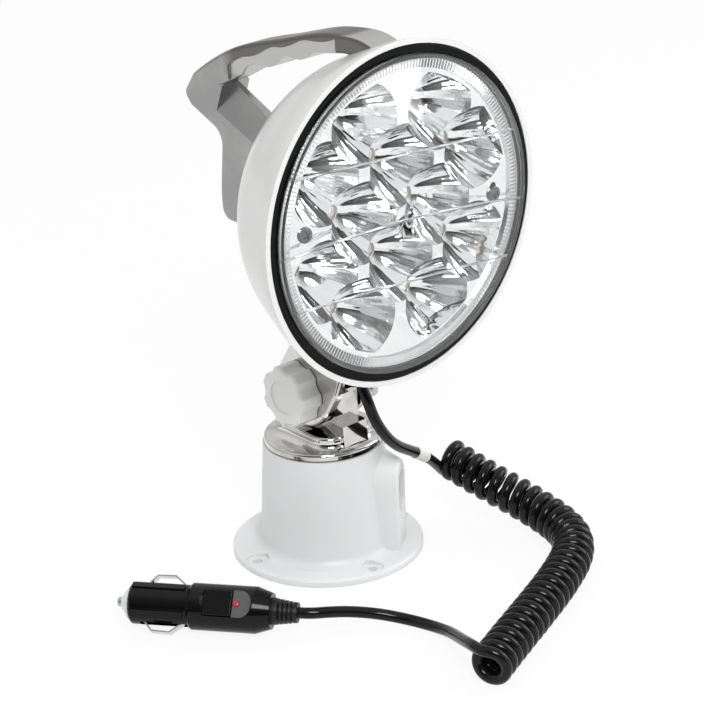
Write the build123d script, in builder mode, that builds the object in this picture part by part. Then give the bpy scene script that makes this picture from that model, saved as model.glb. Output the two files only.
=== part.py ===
from build123d import *
import os
from math import asin, cos, degrees, radians, sin, sqrt, tan

# Deck-mounted LED spotlight. Millimetres, +Z up. The origin is the centre of the base flange's
# underside, the lamp faces -Y and tilts about an axis along X.

os.makedirs("parts", exist_ok=True)

# Fits
RUNNING_CLEARANCE = 0.05
SEAT_GAP = 0.1

# Base
FLANGE_RADIUS = 50.0
FLANGE_THICKNESS = 3.8
FLANGE_EDGE_ROUND = 1.5
TOWER_FOOT_RADIUS = 35.2
TOWER_TOP_RADIUS = 31.5
TOWER_HEIGHT = 61.0
TOWER_WALL = 3.4
TOWER_FOOT_FILLET = 6.0
DECK_THICKNESS = 5.0
BOSS_AZIMUTH = -54.0
BOSS_REACH = 40.5
BOSS_ROOT_RADIUS = 27.0
BOSS_ROOT_WIDTH = 33.0
BOSS_FACE_WIDTH = 19.0
BOSS_ROOT_TOP = 58.0
BOSS_FACE_TOP = 50.0
BOSS_EDGE_ROUND = 2.4
CABLE_SLOT_WIDTH = 13.5
CABLE_SLOT_HEIGHT = 23.0
CABLE_SLOT_CENTRE = 33.7
SCREW_COUNT = 4
SCREW_CIRCLE_RADIUS = 43.0
SCREW_HOLE_RADIUS = 2.6
SCREW_SEAT_RADIUS = 6.0
SCREW_SEAT_HEIGHT = 2.8
SCREW_SEAT_DEPTH = 12.0

# Swivel
SPIGOT_RADIUS = 9.0
GASKET_THICKNESS = 0.8
GASKET_WIDTH = 14.0
DISC_OVERHANG = 0.8
DISC_RADIUS = 30.8
DISC_THICKNESS = 3.4
DISC_EDGE_ROUND = 1.5
SWIVEL_BOLT_RADIUS = 4.0
SWIVEL_BOLT_LENGTH = 18.0
SWIVEL_BOLT_FLATS = 13.0
SWIVEL_BOLT_HEAD_HEIGHT = 5.3
SWIVEL_WASHER_RADIUS = 14.0
SWIVEL_WASHER_THICKNESS = 1.6

# Stem and knuckle
PIVOT_Y = -2.0
PIVOT_Z = 93.0
STEM_WIDTH = 36.0
STEM_LENGTH = 44.0
STEM_CORNER = 11.0
STEM_FOOT_FLARE = 5.0
STEM_SHOULDER_HEIGHT = 71.8
KNUCKLE_LEDGE_HEIGHT = 77.3
KNUCKLE_LEDGE_LENGTH = 47.0
KNUCKLE_THICKNESS = 16.0
KNUCKLE_RADIUS = 17.0
STEM_CENTRE_Y = -2.0

# Yoke
YOKE_WASHER_THICKNESS = 1.0
YOKE_WASHER_RADIUS = 13.0
CHEEK_THICKNESS = 5.5
CHEEK_RADIUS = 19.6
KNUCKLE_CAVITY_RADIUS = 18.3
YOKE_FRONT = [(-19.8, 83.0), (-28.9, 97.7), (-33.4, 108.4), (-47.0, 134.0)]
YOKE_BACK = [(-6.0, 160.0), (4.7, 118.4), (14.3, 104.0)]
YOKE_EDGE_ROUND = 1.4
ARCH_FRONT_ANGLE = 170.5
ARCH_BACK_ANGLE = 56.0
CORD_PORT_WIDTH = 21.0
CORD_PORT_BOTTOM = 100.3
CORD_PORT_TOP = 111.5
CORD_PORT_BACK = -26.4
YOKE_SCREW_PLACES = (-30.0, -16.0)
YOKE_SCREW_RADIUS = 2.0
YOKE_SCREW_HEAD_RADIUS = 4.0
YOKE_SCREW_HEAD_HEIGHT = 2.6
YOKE_SCREW_GRIP = 9.0
YOKE_PAD_RADIUS = 5.5
YOKE_PAD_HEIGHT = 3.0

# Tilt stud and knobs
STUD_RADIUS = 4.0
KNOB_RADIUS = 16.2
KNOB_THICKNESS = 12.6
KNOB_LOBES = 7
KNOB_LOBE_DEPTH = 1.9
KNOB_SCOOP_RADIUS = 7.0
KNOB_EDGE_ROUND = 1.9
KNOB_GAP = 0.4
KNOB_HUB_RADIUS = 9.0
KNOB_HUB_RECESS = 0.9
KNOB_NUT_FLATS = 13.0
KNOB_NUT_THICKNESS = 6.0

# Lamp head, with depths counted back from the front face of the black rim
LAMP_FRONT = -69.2
LAMP_HEIGHT = 200.7
RIM_RADIUS = 83.2
SHELL_LIP = 2.9
SHELL_MOUTH_RADIUS = RIM_RADIUS + SHELL_LIP
SHELL_PROFILE = [
    (0.0, 1.0),
    (19.2, 0.922),
    (39.2, 0.819),
    (55.2, 0.665),
    (67.2, 0.474),
    (76.0, 0.255),
    (80.0, 0.0),
]
SHELL_MOUTH_SLOPE = 0.2
SHELL_WALL = 2.5
SHELL_SHOULDER_DEPTH = 6.2
SHELL_SHOULDER_THICKNESS = 3.0
RIM_FACE_WIDTH = 4.5
RIM_SKIRT_WALL = 1.4
RIM_THICKNESS = 2.8
LENS_FIT = 0.2
LENS_FLANGE_THICKNESS = 1.8
LENS_WALL = 2.2
LENS_STAND = 2.6
LENS_DOME = 3.6
SEAL_LIP = 0.7
TRAY_FLANGE_GAP = 1.0
TRAY_FLANGE_SEAT = 4.0
TRAY_FRONT_DEPTH = 3.0
TRIM_THICKNESS = 1.5
TRIM_WIDTH = 4.8

# Reflector: twelve cups on a square grid turned by 45 degrees, its corners left out
CUP_PITCH = 33.9
CUP_RADIUS = 20.6
CUP_DEPTH = 24.0
CUP_WALL = 1.4
CUP_PORT_RADIUS = 3.6
CUP_FIELD_RADIUS = 69.0
REFLECTOR_TURN = -3.5
REFLECTOR_SCREW_X = 60.6
REFLECTOR_SCREW_Z = 2.0
REFLECTOR_SCREW_RADIUS = 1.9
REFLECTOR_SCREW_HEAD_RADIUS = 3.9
REFLECTOR_SCREW_HEAD_HEIGHT = 1.8
REFLECTOR_SCREW_EDGE_ROUND = 0.6
REFLECTOR_COLUMN_RADIUS = 4.2
BOARD_RADIUS = 66.0
BOARD_THICKNESS = 1.6
EMITTER_SIZE = 4.4
EMITTER_HEIGHT = 0.9
EMITTER_DOME_RADIUS = 1.7
HEAT_SINK_RADIUS = 65.0
HEAT_SINK_PLATE = 3.6
FIN_COUNT = 9
FIN_PITCH = 9.0
FIN_THICKNESS = 1.8
FIN_DEPTH = 11.0
FIN_FIELD_RADIUS = 57.0
DRIVER_SIZE = (44.0, 30.0, 12.0)

# Handle, drawn from the side in Y and Z
HANDLE_HALF_WIDTH = 9.0
HANDLE_TOP = [
    (-62.1, 282.9),
    (-49.9, 286.1),
    (-35.9, 285.6),
    (-22.9, 283.7),
    (7.1, 275.2),
    (43.1, 264.2),
    (64.1, 253.7),
    (80.1, 243.2),
]
HANDLE_HEEL = [(88.5, 231.8), (83.3, 225.4), (58.9, 215.2), (62.9, 183.7), (62.1, 168.7)]
HANDLE_HEEL_ROUNDS = [4.5, 4.5, 9.0, 60.0, 7.0]
HANDLE_TOE = (-8.0, 168.0)
HANDLE_INNER_EDGE = [(-6.4, 217.5), (27.6, 228.5), (55.1, 242.3)]
HANDLE_LEG_EDGE = 2.4
HANDLE_LEG_TAPER = 16.0
FINGER_GRIP = [
    (39.7, 250.5),
    (28.6, 257.7),
    (18.4, 258.3),
    (4.1, 266.3),
    (-5.4, 266.7),
    (-15.9, 271.9),
    (-28.8, 274.5),
    (-39.7, 276.4),
    (-49.9, 274.7),
]
HANDLE_NOSE = (-62.1, 277.7)
BAND_EDGE = [
    (50.1, 253.2),
    (37.6, 260.2),
    (29.6, 262.2),
    (14.7, 269.7),
    (6.1, 271.1),
    (-8.9, 277.5),
    (-19.9, 279.0),
    (-33.9, 283.0),
]
BAND_FLOOR = [(-33.9, 259.7), (50.1, 237.7)]
BAND_RECESS = 1.2
HANDLE_EDGE_ROUND = 2.2
HANDLE_SCREW_RADIUS = 2.0
HANDLE_SCREW_HEAD_RADIUS = 3.8
HANDLE_SCREW_HEAD_HEIGHT = 2.4
HANDLE_SCREW_GRIP = 14.0
HANDLE_SCREW_HEIGHTS = (183.0, 207.0)
HANDLE_PAD_RADIUS = 5.0
HANDLE_PAD_DEPTH = 8.0

# Cord
CORD_RADIUS = 2.9
COIL_RADIUS = 11.0
GLAND_RADIUS = 4.4
GLAND_LENGTH = 12.0
GLAND_LEAN = 30.0
CORD_EXIT = (-1.5, -33.6, 101.6)
CORD_DROP = 9.6
LEAD_ROUTE = [
    (1.5, -39.4, 82.9),
    (9.0, -39.0, 70.9),
    (19.0, -36.0, 61.5),
    (34.0, -31.0, 51.8),
    (50.7, -25.4, 42.0),
    (67.0, -21.5, 35.0),
]
COIL_ROUTE = [
    (69.2, -18.4, 33.0),
    (72.5, -40.0, 27.0),
    (83.0, -66.0, 16.6),
    (83.5, -94.0, 11.1),
    (69.0, -114.0, 11.1),
    (40.0, -130.5, 11.1),
    (8.0, -145.0, 11.1),
    (-22.0, -158.0, 11.1),
    (-45.0, -168.5, 11.1),
]
TAIL_DROP = 6.0
TAIL_ROUTE = [
    (-64.5, -74.0, 12.0),
    (-53.2, -78.6, 9.8),
    (-41.0, -86.0, 6.6),
    (-31.5, -97.5, 4.0),
    (-26.3, -112.5, 3.0),
    (-22.5, -130.0, 3.0),
    (-24.0, -148.0, 4.6),
]

# Accessory plug, measured along its axis from the tip
PLUG_TIP = (-130.8, 8.0, 12.6)
PLUG_AZIMUTH = -53.0
PLUG_TURN = 47.0
NOSE_START = 2.4
BARREL_START = 7.4
BARREL_RADIUS = 10.5
BODY_START = 37.5
BODY_RADIUS = 11.7
TAPER_START = 71.0
BODY_END = 79.0
BODY_END_RADIUS = 9.0
BORE_RADIUS = 4.2
BORE_END = 40.0
NOSE_RADIUS = 8.2
CONTACT_RADIUS = 2.4
CONTACT_FLANGE_RADIUS = 3.7
CONTACT_FLANGE_THICKNESS = 1.4
SPRING_WIRE = 0.8
FUSE_RADIUS = 3.2
FUSE_LENGTH = 20.0
RIB_ANGLES = (-40.0, 40.0, 140.0, 220.0)
RIB_WIDTH = 3.4
RIB_HEIGHT = 0.9
RIB_START = 8.6
RIB_END = 35.6
CLIP_OUTLINE = [(13.9, 8.1), (19.4, 14.0), (28.6, 14.3), (36.6, 8.1)]
CLIP_THICKNESS = 0.8
CLIP_WIDTH = 4.6
CLIP_SLOT_SIDE_GAP = 0.4
CLIP_SLOT_FLOOR = 7.5
PANEL_START = 44.4
PANEL_LENGTH = 25.8
PANEL_WIDTH = 13.6
PANEL_THICKNESS = 1.2
PANEL_FACE = 10.0
PANEL_CORNER = 6.0
SWITCH_START = 46.2
SWITCH_LENGTH = 14.2
SWITCH_WIDTH = 12.8
SWITCH_THICKNESS = 3.4
SWITCH_STAND = 0.9
SWITCH_GAP = 0.4
SWITCH_PIN_RADIUS = 0.9
SWITCH_WELL_DEPTH = 4.6
LAMP_PIP_PLACE = 62.6
LAMP_PIP_RADIUS = 1.5
BOOT_START = 74.0
BOOT_END = 92.0
BOOT_RADIUS = 6.7
BOOT_END_RADIUS = 5.0
BOOT_GROOVES = 4
BOOT_GROOVE_DEPTH = 0.8


def finish(part, name):
    """Label a piece and write it as one STEP file."""
    part.part.label = name
    export_step(part.part, "parts/" + name + ".step")


def on_ray(radius, angle):
    """A point in Y and Z at a distance from the tilt axis, with the angle counted up from +Y."""
    return (PIVOT_Y + radius * cos(radians(angle)), PIVOT_Z + radius * sin(radians(angle)))


def lamp_plane(depth):
    """A plane across the lamp axis, seen from the front, at a depth behind the black rim's face."""
    return Plane(origin=(0, LAMP_FRONT + depth, LAMP_HEIGHT), x_dir=(1, 0, 0), z_dir=(0, -1, 0))


def cord_tube(route, radius):
    """A tube along straight runs joined by arcs as large as the runs allow, and its bend radii."""
    points = [Vector(*place) for place in route]
    bends = []
    for before, here, after in zip(points, points[1:], points[2:]):
        turn = radians((here - before).get_angle(after - here))
        shorter = min((here - before).length, (after - here).length)
        bends.append(0.45 * shorter / tan(turn / 2))
    with BuildPart() as tube:
        with BuildLine() as path:
            FilletPolyline(*points, radius=bends)
        start = path.line @ 0
        with BuildSketch(Plane(origin=start, z_dir=path.line % 0)):
            Circle(radius)
        sweep(path=path.line)
    return tube, bends


tilt_axis = Axis((0, PIVOT_Y, PIVOT_Z), (1, 0, 0))
lamp_axis = Axis((0, 0, LAMP_HEIGHT), (0, 1, 0))

# Base pedestal: flange, tapered tower, cable boss, screw seats and a hollow inside
tower_ceiling = TOWER_HEIGHT - DECK_THICKNESS
boss_out = Vector(cos(radians(BOSS_AZIMUTH)), sin(radians(BOSS_AZIMUTH)), 0)
boss_side = Vector(-boss_out.Y, boss_out.X, 0)


def boss_section(reach, width, top):
    """The plane and the height of an upright round-topped section across the cable boss."""
    springing = top - width / 2
    return Plane(origin=boss_out * reach + Vector(0, 0, springing), x_dir=boss_side, z_dir=boss_out)


with BuildPart() as cable_boss:
    for reach, width, top in (
        (BOSS_ROOT_RADIUS, BOSS_ROOT_WIDTH, BOSS_ROOT_TOP),
        (BOSS_REACH, BOSS_FACE_WIDTH, BOSS_FACE_TOP),
    ):
        with BuildSketch(boss_section(reach, width, top)):
            Circle(width / 2)
            with Locations((0, -BOSS_ROOT_TOP / 2)):
                Rectangle(width, BOSS_ROOT_TOP)
    loft(ruled=True)
    face_edges = cable_boss.faces().sort_by(Axis((0, 0, 0), boss_out))[-1].edges()
    fillet(face_edges, BOSS_EDGE_ROUND)
    split(bisect_by=Plane.XY, keep=Keep.TOP)

with BuildPart() as base_pedestal:
    with BuildSketch(Plane.XZ):
        with BuildLine():
            Polyline(
                (0, 0),
                (FLANGE_RADIUS, 0),
                (FLANGE_RADIUS, FLANGE_THICKNESS),
                (TOWER_FOOT_RADIUS, FLANGE_THICKNESS),
                (TOWER_TOP_RADIUS, TOWER_HEIGHT),
                (0, TOWER_HEIGHT),
                close=True,
            )
        make_face()
    revolve(axis=Axis.Z)
    rim_circles = base_pedestal.edges().filter_by(GeomType.CIRCLE)
    outer_rim = rim_circles.filter_by(lambda edge: abs(edge.radius - FLANGE_RADIUS) < 0.01)
    fillet(outer_rim.sort_by(Axis.Z)[-1], FLANGE_EDGE_ROUND)
    foot_circle = base_pedestal.edges().filter_by(GeomType.CIRCLE)
    foot_circle = foot_circle.filter_by(lambda edge: abs(edge.radius - TOWER_FOOT_RADIUS) < 0.01)
    fillet(foot_circle, TOWER_FOOT_FILLET)
    add(cable_boss.part)
    with BuildSketch(Plane.XZ):
        with BuildLine():
            Polyline(
                (0, 0),
                (TOWER_FOOT_RADIUS - TOWER_WALL, 0),
                (TOWER_TOP_RADIUS - TOWER_WALL, tower_ceiling),
                (0, tower_ceiling),
                close=True,
            )
        make_face()
    revolve(axis=Axis.Z, mode=Mode.SUBTRACT)
    with BuildSketch(Plane.XY.offset(tower_ceiling)):
        Circle(SPIGOT_RADIUS + RUNNING_CLEARANCE)
    extrude(amount=DECK_THICKNESS, mode=Mode.SUBTRACT)
    with BuildSketch(Plane(origin=(0, 0, CABLE_SLOT_CENTRE), x_dir=boss_side, z_dir=boss_out)):
        SlotOverall(CABLE_SLOT_HEIGHT, CABLE_SLOT_WIDTH, rotation=90)
    extrude(amount=BOSS_REACH + 1, mode=Mode.SUBTRACT)
    with Locations(Plane.XY.offset(SCREW_SEAT_HEIGHT + SCREW_SEAT_DEPTH)):
        with PolarLocations(SCREW_CIRCLE_RADIUS, SCREW_COUNT, start_angle=BOSS_AZIMUTH + 180 / SCREW_COUNT):
            CounterBoreHole(SCREW_HOLE_RADIUS, SCREW_SEAT_RADIUS, SCREW_SEAT_DEPTH)
finish(base_pedestal, "base_pedestal")

# Swivel: gasket under the disc, washer and hexagon bolt below the deck
gasket_bottom = TOWER_HEIGHT + SEAT_GAP
disc_bottom = gasket_bottom + GASKET_THICKNESS
gasket_radius = DISC_RADIUS - DISC_OVERHANG
washer_top = tower_ceiling - SEAT_GAP
washer_bottom = washer_top - SWIVEL_WASHER_THICKNESS

with BuildPart() as swivel_gasket:
    with BuildSketch(Plane.XY.offset(gasket_bottom)):
        Circle(gasket_radius)
        Circle(gasket_radius - GASKET_WIDTH, mode=Mode.SUBTRACT)
    extrude(amount=GASKET_THICKNESS)
finish(swivel_gasket, "swivel_gasket")

with BuildPart() as swivel_washer:
    with BuildSketch(Plane.XY.offset(washer_top)):
        Circle(SWIVEL_WASHER_RADIUS)
        Circle(SWIVEL_BOLT_RADIUS + RUNNING_CLEARANCE, mode=Mode.SUBTRACT)
    extrude(amount=-SWIVEL_WASHER_THICKNESS)
finish(swivel_washer, "swivel_washer")

with BuildPart() as swivel_bolt:
    with BuildSketch(Plane.XY.offset(washer_bottom)):
        RegularPolygon(SWIVEL_BOLT_FLATS / 2, 6, major_radius=False)
    extrude(amount=-SWIVEL_BOLT_HEAD_HEIGHT)
    with BuildSketch(Plane.XY.offset(washer_bottom)):
        Circle(SWIVEL_BOLT_RADIUS)
    extrude(amount=SWIVEL_BOLT_LENGTH)
finish(swivel_bolt, "swivel_bolt")

# Turret: disc, flared stem and the flat knuckle that the yoke straddles
disc_top = disc_bottom + DISC_THICKNESS
knuckle_bottom = disc_top - 1

with BuildPart() as turret_stem:
    with BuildSketch(Plane.XY.offset(disc_bottom)):
        Circle(DISC_RADIUS)
    extrude(amount=DISC_THICKNESS)
    fillet(turret_stem.edges().group_by(Axis.Z)[-1], DISC_EDGE_ROUND)
    with BuildSketch(Plane.XY.offset(disc_bottom)):
        with Locations((0, STEM_CENTRE_Y)):
            RectangleRounded(STEM_WIDTH, STEM_LENGTH, STEM_CORNER)
    extrude(amount=STEM_SHOULDER_HEIGHT - disc_bottom)
    shoulder_rim = turret_stem.faces().sort_by(Axis.Z)[-1].edges()
    fillet(shoulder_rim, DISC_EDGE_ROUND)
    foot_edges = turret_stem.edges().filter_by_position(Axis.Z, disc_top - 0.01, disc_top + 0.01)
    foot_edges = foot_edges.filter_by(lambda edge: edge.bounding_box().size.Z < 0.01)
    fillet(foot_edges.filter_by(lambda edge: edge.length < 60), STEM_FOOT_FLARE - 1)
    with BuildSketch(Plane.YZ):
        with BuildLine():
            Polyline(
                (STEM_CENTRE_Y - KNUCKLE_LEDGE_LENGTH / 2 - 1, knuckle_bottom),
                (STEM_CENTRE_Y - KNUCKLE_LEDGE_LENGTH / 2, KNUCKLE_LEDGE_HEIGHT),
                (STEM_CENTRE_Y + KNUCKLE_LEDGE_LENGTH / 2, KNUCKLE_LEDGE_HEIGHT),
                (STEM_CENTRE_Y + KNUCKLE_LEDGE_LENGTH / 2 + 1, knuckle_bottom),
                close=True,
            )
        make_face()
        with Locations((PIVOT_Y, PIVOT_Z)):
            Circle(KNUCKLE_RADIUS)
        with Locations((PIVOT_Y, (PIVOT_Z + knuckle_bottom) / 2)):
            Rectangle(2 * KNUCKLE_RADIUS, PIVOT_Z - knuckle_bottom)
    extrude(amount=KNUCKLE_THICKNESS / 2, both=True)
    with BuildSketch(Plane.XY.offset(washer_top)):
        Circle(SPIGOT_RADIUS)
    extrude(amount=disc_bottom - washer_top)
    with BuildSketch(Plane.XY.offset(washer_top)):
        Circle(SWIVEL_BOLT_RADIUS + RUNNING_CLEARANCE)
    extrude(amount=SWIVEL_BOLT_LENGTH - SWIVEL_WASHER_THICKNESS + SEAT_GAP, mode=Mode.SUBTRACT)
    with BuildSketch(Plane.YZ):
        with Locations((PIVOT_Y, PIVOT_Z)):
            Circle(STUD_RADIUS + RUNNING_CLEARANCE)
    extrude(amount=KNUCKLE_THICKNESS, both=True, mode=Mode.SUBTRACT)
finish(turret_stem, "turret_stem")

# Friction washers between the knuckle and the yoke's cheeks
cheek_inside = KNUCKLE_THICKNESS / 2 + YOKE_WASHER_THICKNESS + SEAT_GAP
cheek_outside = cheek_inside + CHEEK_THICKNESS

with BuildPart() as friction_washers:
    for side in (-1, 1):
        with BuildSketch(Plane.YZ.offset(side * cheek_inside)):
            with Locations((PIVOT_Y, PIVOT_Z)):
                Circle(YOKE_WASHER_RADIUS)
                Circle(STUD_RADIUS + RUNNING_CLEARANCE, mode=Mode.SUBTRACT)
        extrude(amount=-side * YOKE_WASHER_THICKNESS)
finish(friction_washers, "friction_washers")

# Fits of the lamp's mouth, from the rim inwards
rim_bore = RIM_RADIUS - RIM_FACE_WIDTH
lens_flange_radius = RIM_RADIUS - RIM_SKIRT_WALL
lens_radius = rim_bore - LENS_FIT
lens_bore = lens_radius - LENS_WALL
seal_bore = lens_bore + SEAL_LIP
tray_flange_radius = seal_bore - TRAY_FLANGE_GAP
shoulder_bore = tray_flange_radius - TRAY_FLANGE_SEAT
trim_bore = tray_flange_radius - TRIM_WIDTH
mouth_tangents = [(1, -SHELL_MOUTH_SLOPE), (0, -1)]

# Lamp shell: a revolved bowl with a lip, an inner shoulder and pads for the screws
with BuildLine() as shell_curve:
    Spline(
        *[(LAMP_FRONT + depth, LAMP_HEIGHT + share * SHELL_MOUTH_RADIUS) for depth, share in SHELL_PROFILE],
        tangents=mouth_tangents,
    )
outer_curve = shell_curve.edges()[0]


def shell_surface(share, inset):
    """Depth and radius of the bowl at a share of its outline, moved inwards by an inset."""
    spot = outer_curve.position_at(share)
    way = outer_curve.tangent_at(share)
    return (spot.X + way.Y * inset, max(spot.Y - way.X * inset, LAMP_HEIGHT))


def shell_height(y, inset):
    """Height of the bowl's underside below the lamp axis at one Y, on its outer or inner surface."""
    low, high = 0.0, 1.0
    for _ in range(40):
        middle = (low + high) / 2
        if shell_surface(middle, inset)[0] < y:
            low = middle
        else:
            high = middle
    return 2 * LAMP_HEIGHT - shell_surface(low, inset)[1]


shell_back = outer_curve.position_at(1).X
inner_shares = [0.02, 0.15, 0.3, 0.45, 0.6, 0.75, 0.88, 1.0]
inner_points = [shell_surface(share, SHELL_WALL) for share in inner_shares]
shoulder_front = LAMP_FRONT + SHELL_SHOULDER_DEPTH

with BuildPart() as shell_form:
    with BuildSketch(Plane.YZ):
        with BuildLine():
            add(outer_curve)
            Line((shell_back, LAMP_HEIGHT), (LAMP_FRONT, LAMP_HEIGHT))
            Line((LAMP_FRONT, LAMP_HEIGHT), (LAMP_FRONT, LAMP_HEIGHT + SHELL_MOUTH_RADIUS))
        make_face()
    revolve(axis=lamp_axis)

with BuildPart() as shell_hollow:
    with BuildSketch(Plane.YZ):
        with BuildLine():
            Spline(*inner_points, tangents=mouth_tangents)
            Line(inner_points[-1], (inner_points[0][0], LAMP_HEIGHT))
            Line((inner_points[0][0], LAMP_HEIGHT), inner_points[0])
        make_face()
    revolve(axis=lamp_axis)

with BuildPart() as rear_shell:
    add(shell_form.part)
    add(shell_hollow.part, mode=Mode.SUBTRACT)
    with BuildSketch(lamp_plane(SHELL_SHOULDER_DEPTH)):
        Circle(RIM_RADIUS - 1)
        Circle(shoulder_bore, mode=Mode.SUBTRACT)
    extrude(amount=-SHELL_SHOULDER_THICKNESS)
    with BuildSketch(lamp_plane(-1)):
        Circle(RIM_RADIUS + SEAT_GAP)
    extrude(amount=-SHELL_SHOULDER_DEPTH - 1, mode=Mode.SUBTRACT)
    for place in YOKE_SCREW_PLACES:
        pad_top = shell_height(place, SHELL_WALL) + YOKE_PAD_HEIGHT
        with BuildSketch(Plane.XY.offset(pad_top)):
            with Locations((0, place)):
                Circle(YOKE_PAD_RADIUS)
        extrude(amount=-YOKE_PAD_HEIGHT - YOKE_PAD_RADIUS - 4)
    with BuildSketch(Plane.XZ.offset(HANDLE_PAD_DEPTH - shell_back)):
        for height in HANDLE_SCREW_HEIGHTS:
            with Locations((0, height)):
                Circle(HANDLE_PAD_RADIUS)
    extrude(amount=-HANDLE_PAD_DEPTH)
    add(shell_form.part, mode=Mode.INTERSECT)
    for place in YOKE_SCREW_PLACES:
        with BuildSketch(Plane.XY.offset(shell_height(place, SHELL_WALL) + YOKE_PAD_HEIGHT)):
            with Locations((0, place)):
                Circle(YOKE_SCREW_HEAD_RADIUS + SEAT_GAP)
        extrude(amount=2 * YOKE_SCREW_HEAD_HEIGHT, mode=Mode.SUBTRACT)
        with BuildSketch(Plane.XY.offset(PIVOT_Z + CHEEK_RADIUS)):
            with Locations((0, place)):
                Circle(YOKE_SCREW_RADIUS + RUNNING_CLEARANCE)
        extrude(amount=LAMP_HEIGHT - PIVOT_Z - CHEEK_RADIUS - 10, mode=Mode.SUBTRACT)
    for height in HANDLE_SCREW_HEIGHTS:
        with BuildSketch(Plane.XZ.offset(-shell_back)):
            with Locations((0, height)):
                Circle(HANDLE_SCREW_RADIUS + RUNNING_CLEARANCE)
        extrude(amount=30, mode=Mode.SUBTRACT)
finish(rear_shell, "rear_shell")

# Yoke: two cheeks, the arch over the knuckle, the cord port and a saddle under the shell
with BuildPart() as neck_yoke:
    with BuildSketch(Plane.YZ):
        with BuildLine():
            Polyline(*YOKE_FRONT, *YOKE_BACK, (PIVOT_Y, PIVOT_Z), close=True)
        make_face()
        with Locations((PIVOT_Y, PIVOT_Z)):
            Circle(CHEEK_RADIUS)
    extrude(amount=cheek_outside, both=True)
    side_faces = neck_yoke.faces().filter_by(Axis.X)
    fillet(side_faces.edges(), YOKE_EDGE_ROUND)
    add(shell_form.part, mode=Mode.SUBTRACT)
    with BuildSketch(Plane.YZ):
        with Locations((PIVOT_Y, PIVOT_Z)):
            Circle(KNUCKLE_CAVITY_RADIUS)
        with BuildLine():
            Polyline(
                (PIVOT_Y, PIVOT_Z),
                on_ray(3 * CHEEK_RADIUS, ARCH_FRONT_ANGLE),
                on_ray(3 * CHEEK_RADIUS, 225),
                on_ray(3 * CHEEK_RADIUS, 315),
                on_ray(3 * CHEEK_RADIUS, ARCH_BACK_ANGLE),
                close=True,
            )
        make_face()
    extrude(amount=cheek_inside, both=True, mode=Mode.SUBTRACT)
    with BuildSketch(Plane.XZ.offset(-CORD_PORT_BACK)):
        with Locations((0, (CORD_PORT_BOTTOM + CORD_PORT_TOP) / 2)):
            RectangleRounded(CORD_PORT_WIDTH, CORD_PORT_TOP - CORD_PORT_BOTTOM, 3)
    extrude(amount=30, mode=Mode.SUBTRACT)
    with BuildSketch(Plane.YZ):
        with Locations((PIVOT_Y, PIVOT_Z)):
            Circle(STUD_RADIUS + RUNNING_CLEARANCE)
    extrude(amount=2 * cheek_outside, both=True, mode=Mode.SUBTRACT)
    gland_out = Vector(0, -sin(radians(GLAND_LEAN)), -cos(radians(GLAND_LEAN)))
    gland_top = Vector(*CORD_EXIT) - gland_out * GLAND_LENGTH
    with BuildSketch(Plane(origin=gland_top, z_dir=gland_out)):
        Circle(GLAND_RADIUS + RUNNING_CLEARANCE)
    extrude(amount=GLAND_LENGTH, mode=Mode.SUBTRACT)
    for place in YOKE_SCREW_PLACES:
        screw_tip = shell_height(place, 0) - YOKE_SCREW_GRIP
        with BuildSketch(Plane.XY.offset(screw_tip)):
            with Locations((0, place)):
                Circle(YOKE_SCREW_RADIUS + RUNNING_CLEARANCE)
        extrude(amount=2 * YOKE_SCREW_GRIP, mode=Mode.SUBTRACT)
finish(neck_yoke, "neck_yoke")

with BuildPart() as neck_screws:
    for place in YOKE_SCREW_PLACES:
        pad_top = shell_height(place, SHELL_WALL) + YOKE_PAD_HEIGHT
        screw_tip = shell_height(place, 0) - YOKE_SCREW_GRIP
        with BuildSketch(Plane.XY.offset(pad_top)):
            with Locations((0, place)):
                Circle(YOKE_SCREW_HEAD_RADIUS)
        extrude(amount=YOKE_SCREW_HEAD_HEIGHT)
        with BuildSketch(Plane.XY.offset(screw_tip)):
            with Locations((0, place)):
                Circle(YOKE_SCREW_RADIUS)
        extrude(amount=pad_top - screw_tip)
finish(neck_screws, "neck_screws")

with BuildPart() as cable_gland:
    with BuildSketch(Plane(origin=gland_top, z_dir=gland_out)):
        Circle(GLAND_RADIUS)
    extrude(amount=GLAND_LENGTH)
finish(cable_gland, "cable_gland")

# Tilt stud through the yoke and the knuckle, with a lobed knob at each end
knob_inside = cheek_outside + KNOB_GAP
knob_outside = knob_inside + KNOB_THICKNESS
stud_length = 2 * (knob_inside + KNOB_NUT_THICKNESS)

with BuildPart() as tilt_stud:
    with BuildSketch(Plane.YZ):
        with Locations((PIVOT_Y, PIVOT_Z)):
            Circle(STUD_RADIUS)
    extrude(amount=stud_length / 2, both=True)
finish(tilt_stud, "tilt_stud")

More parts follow.
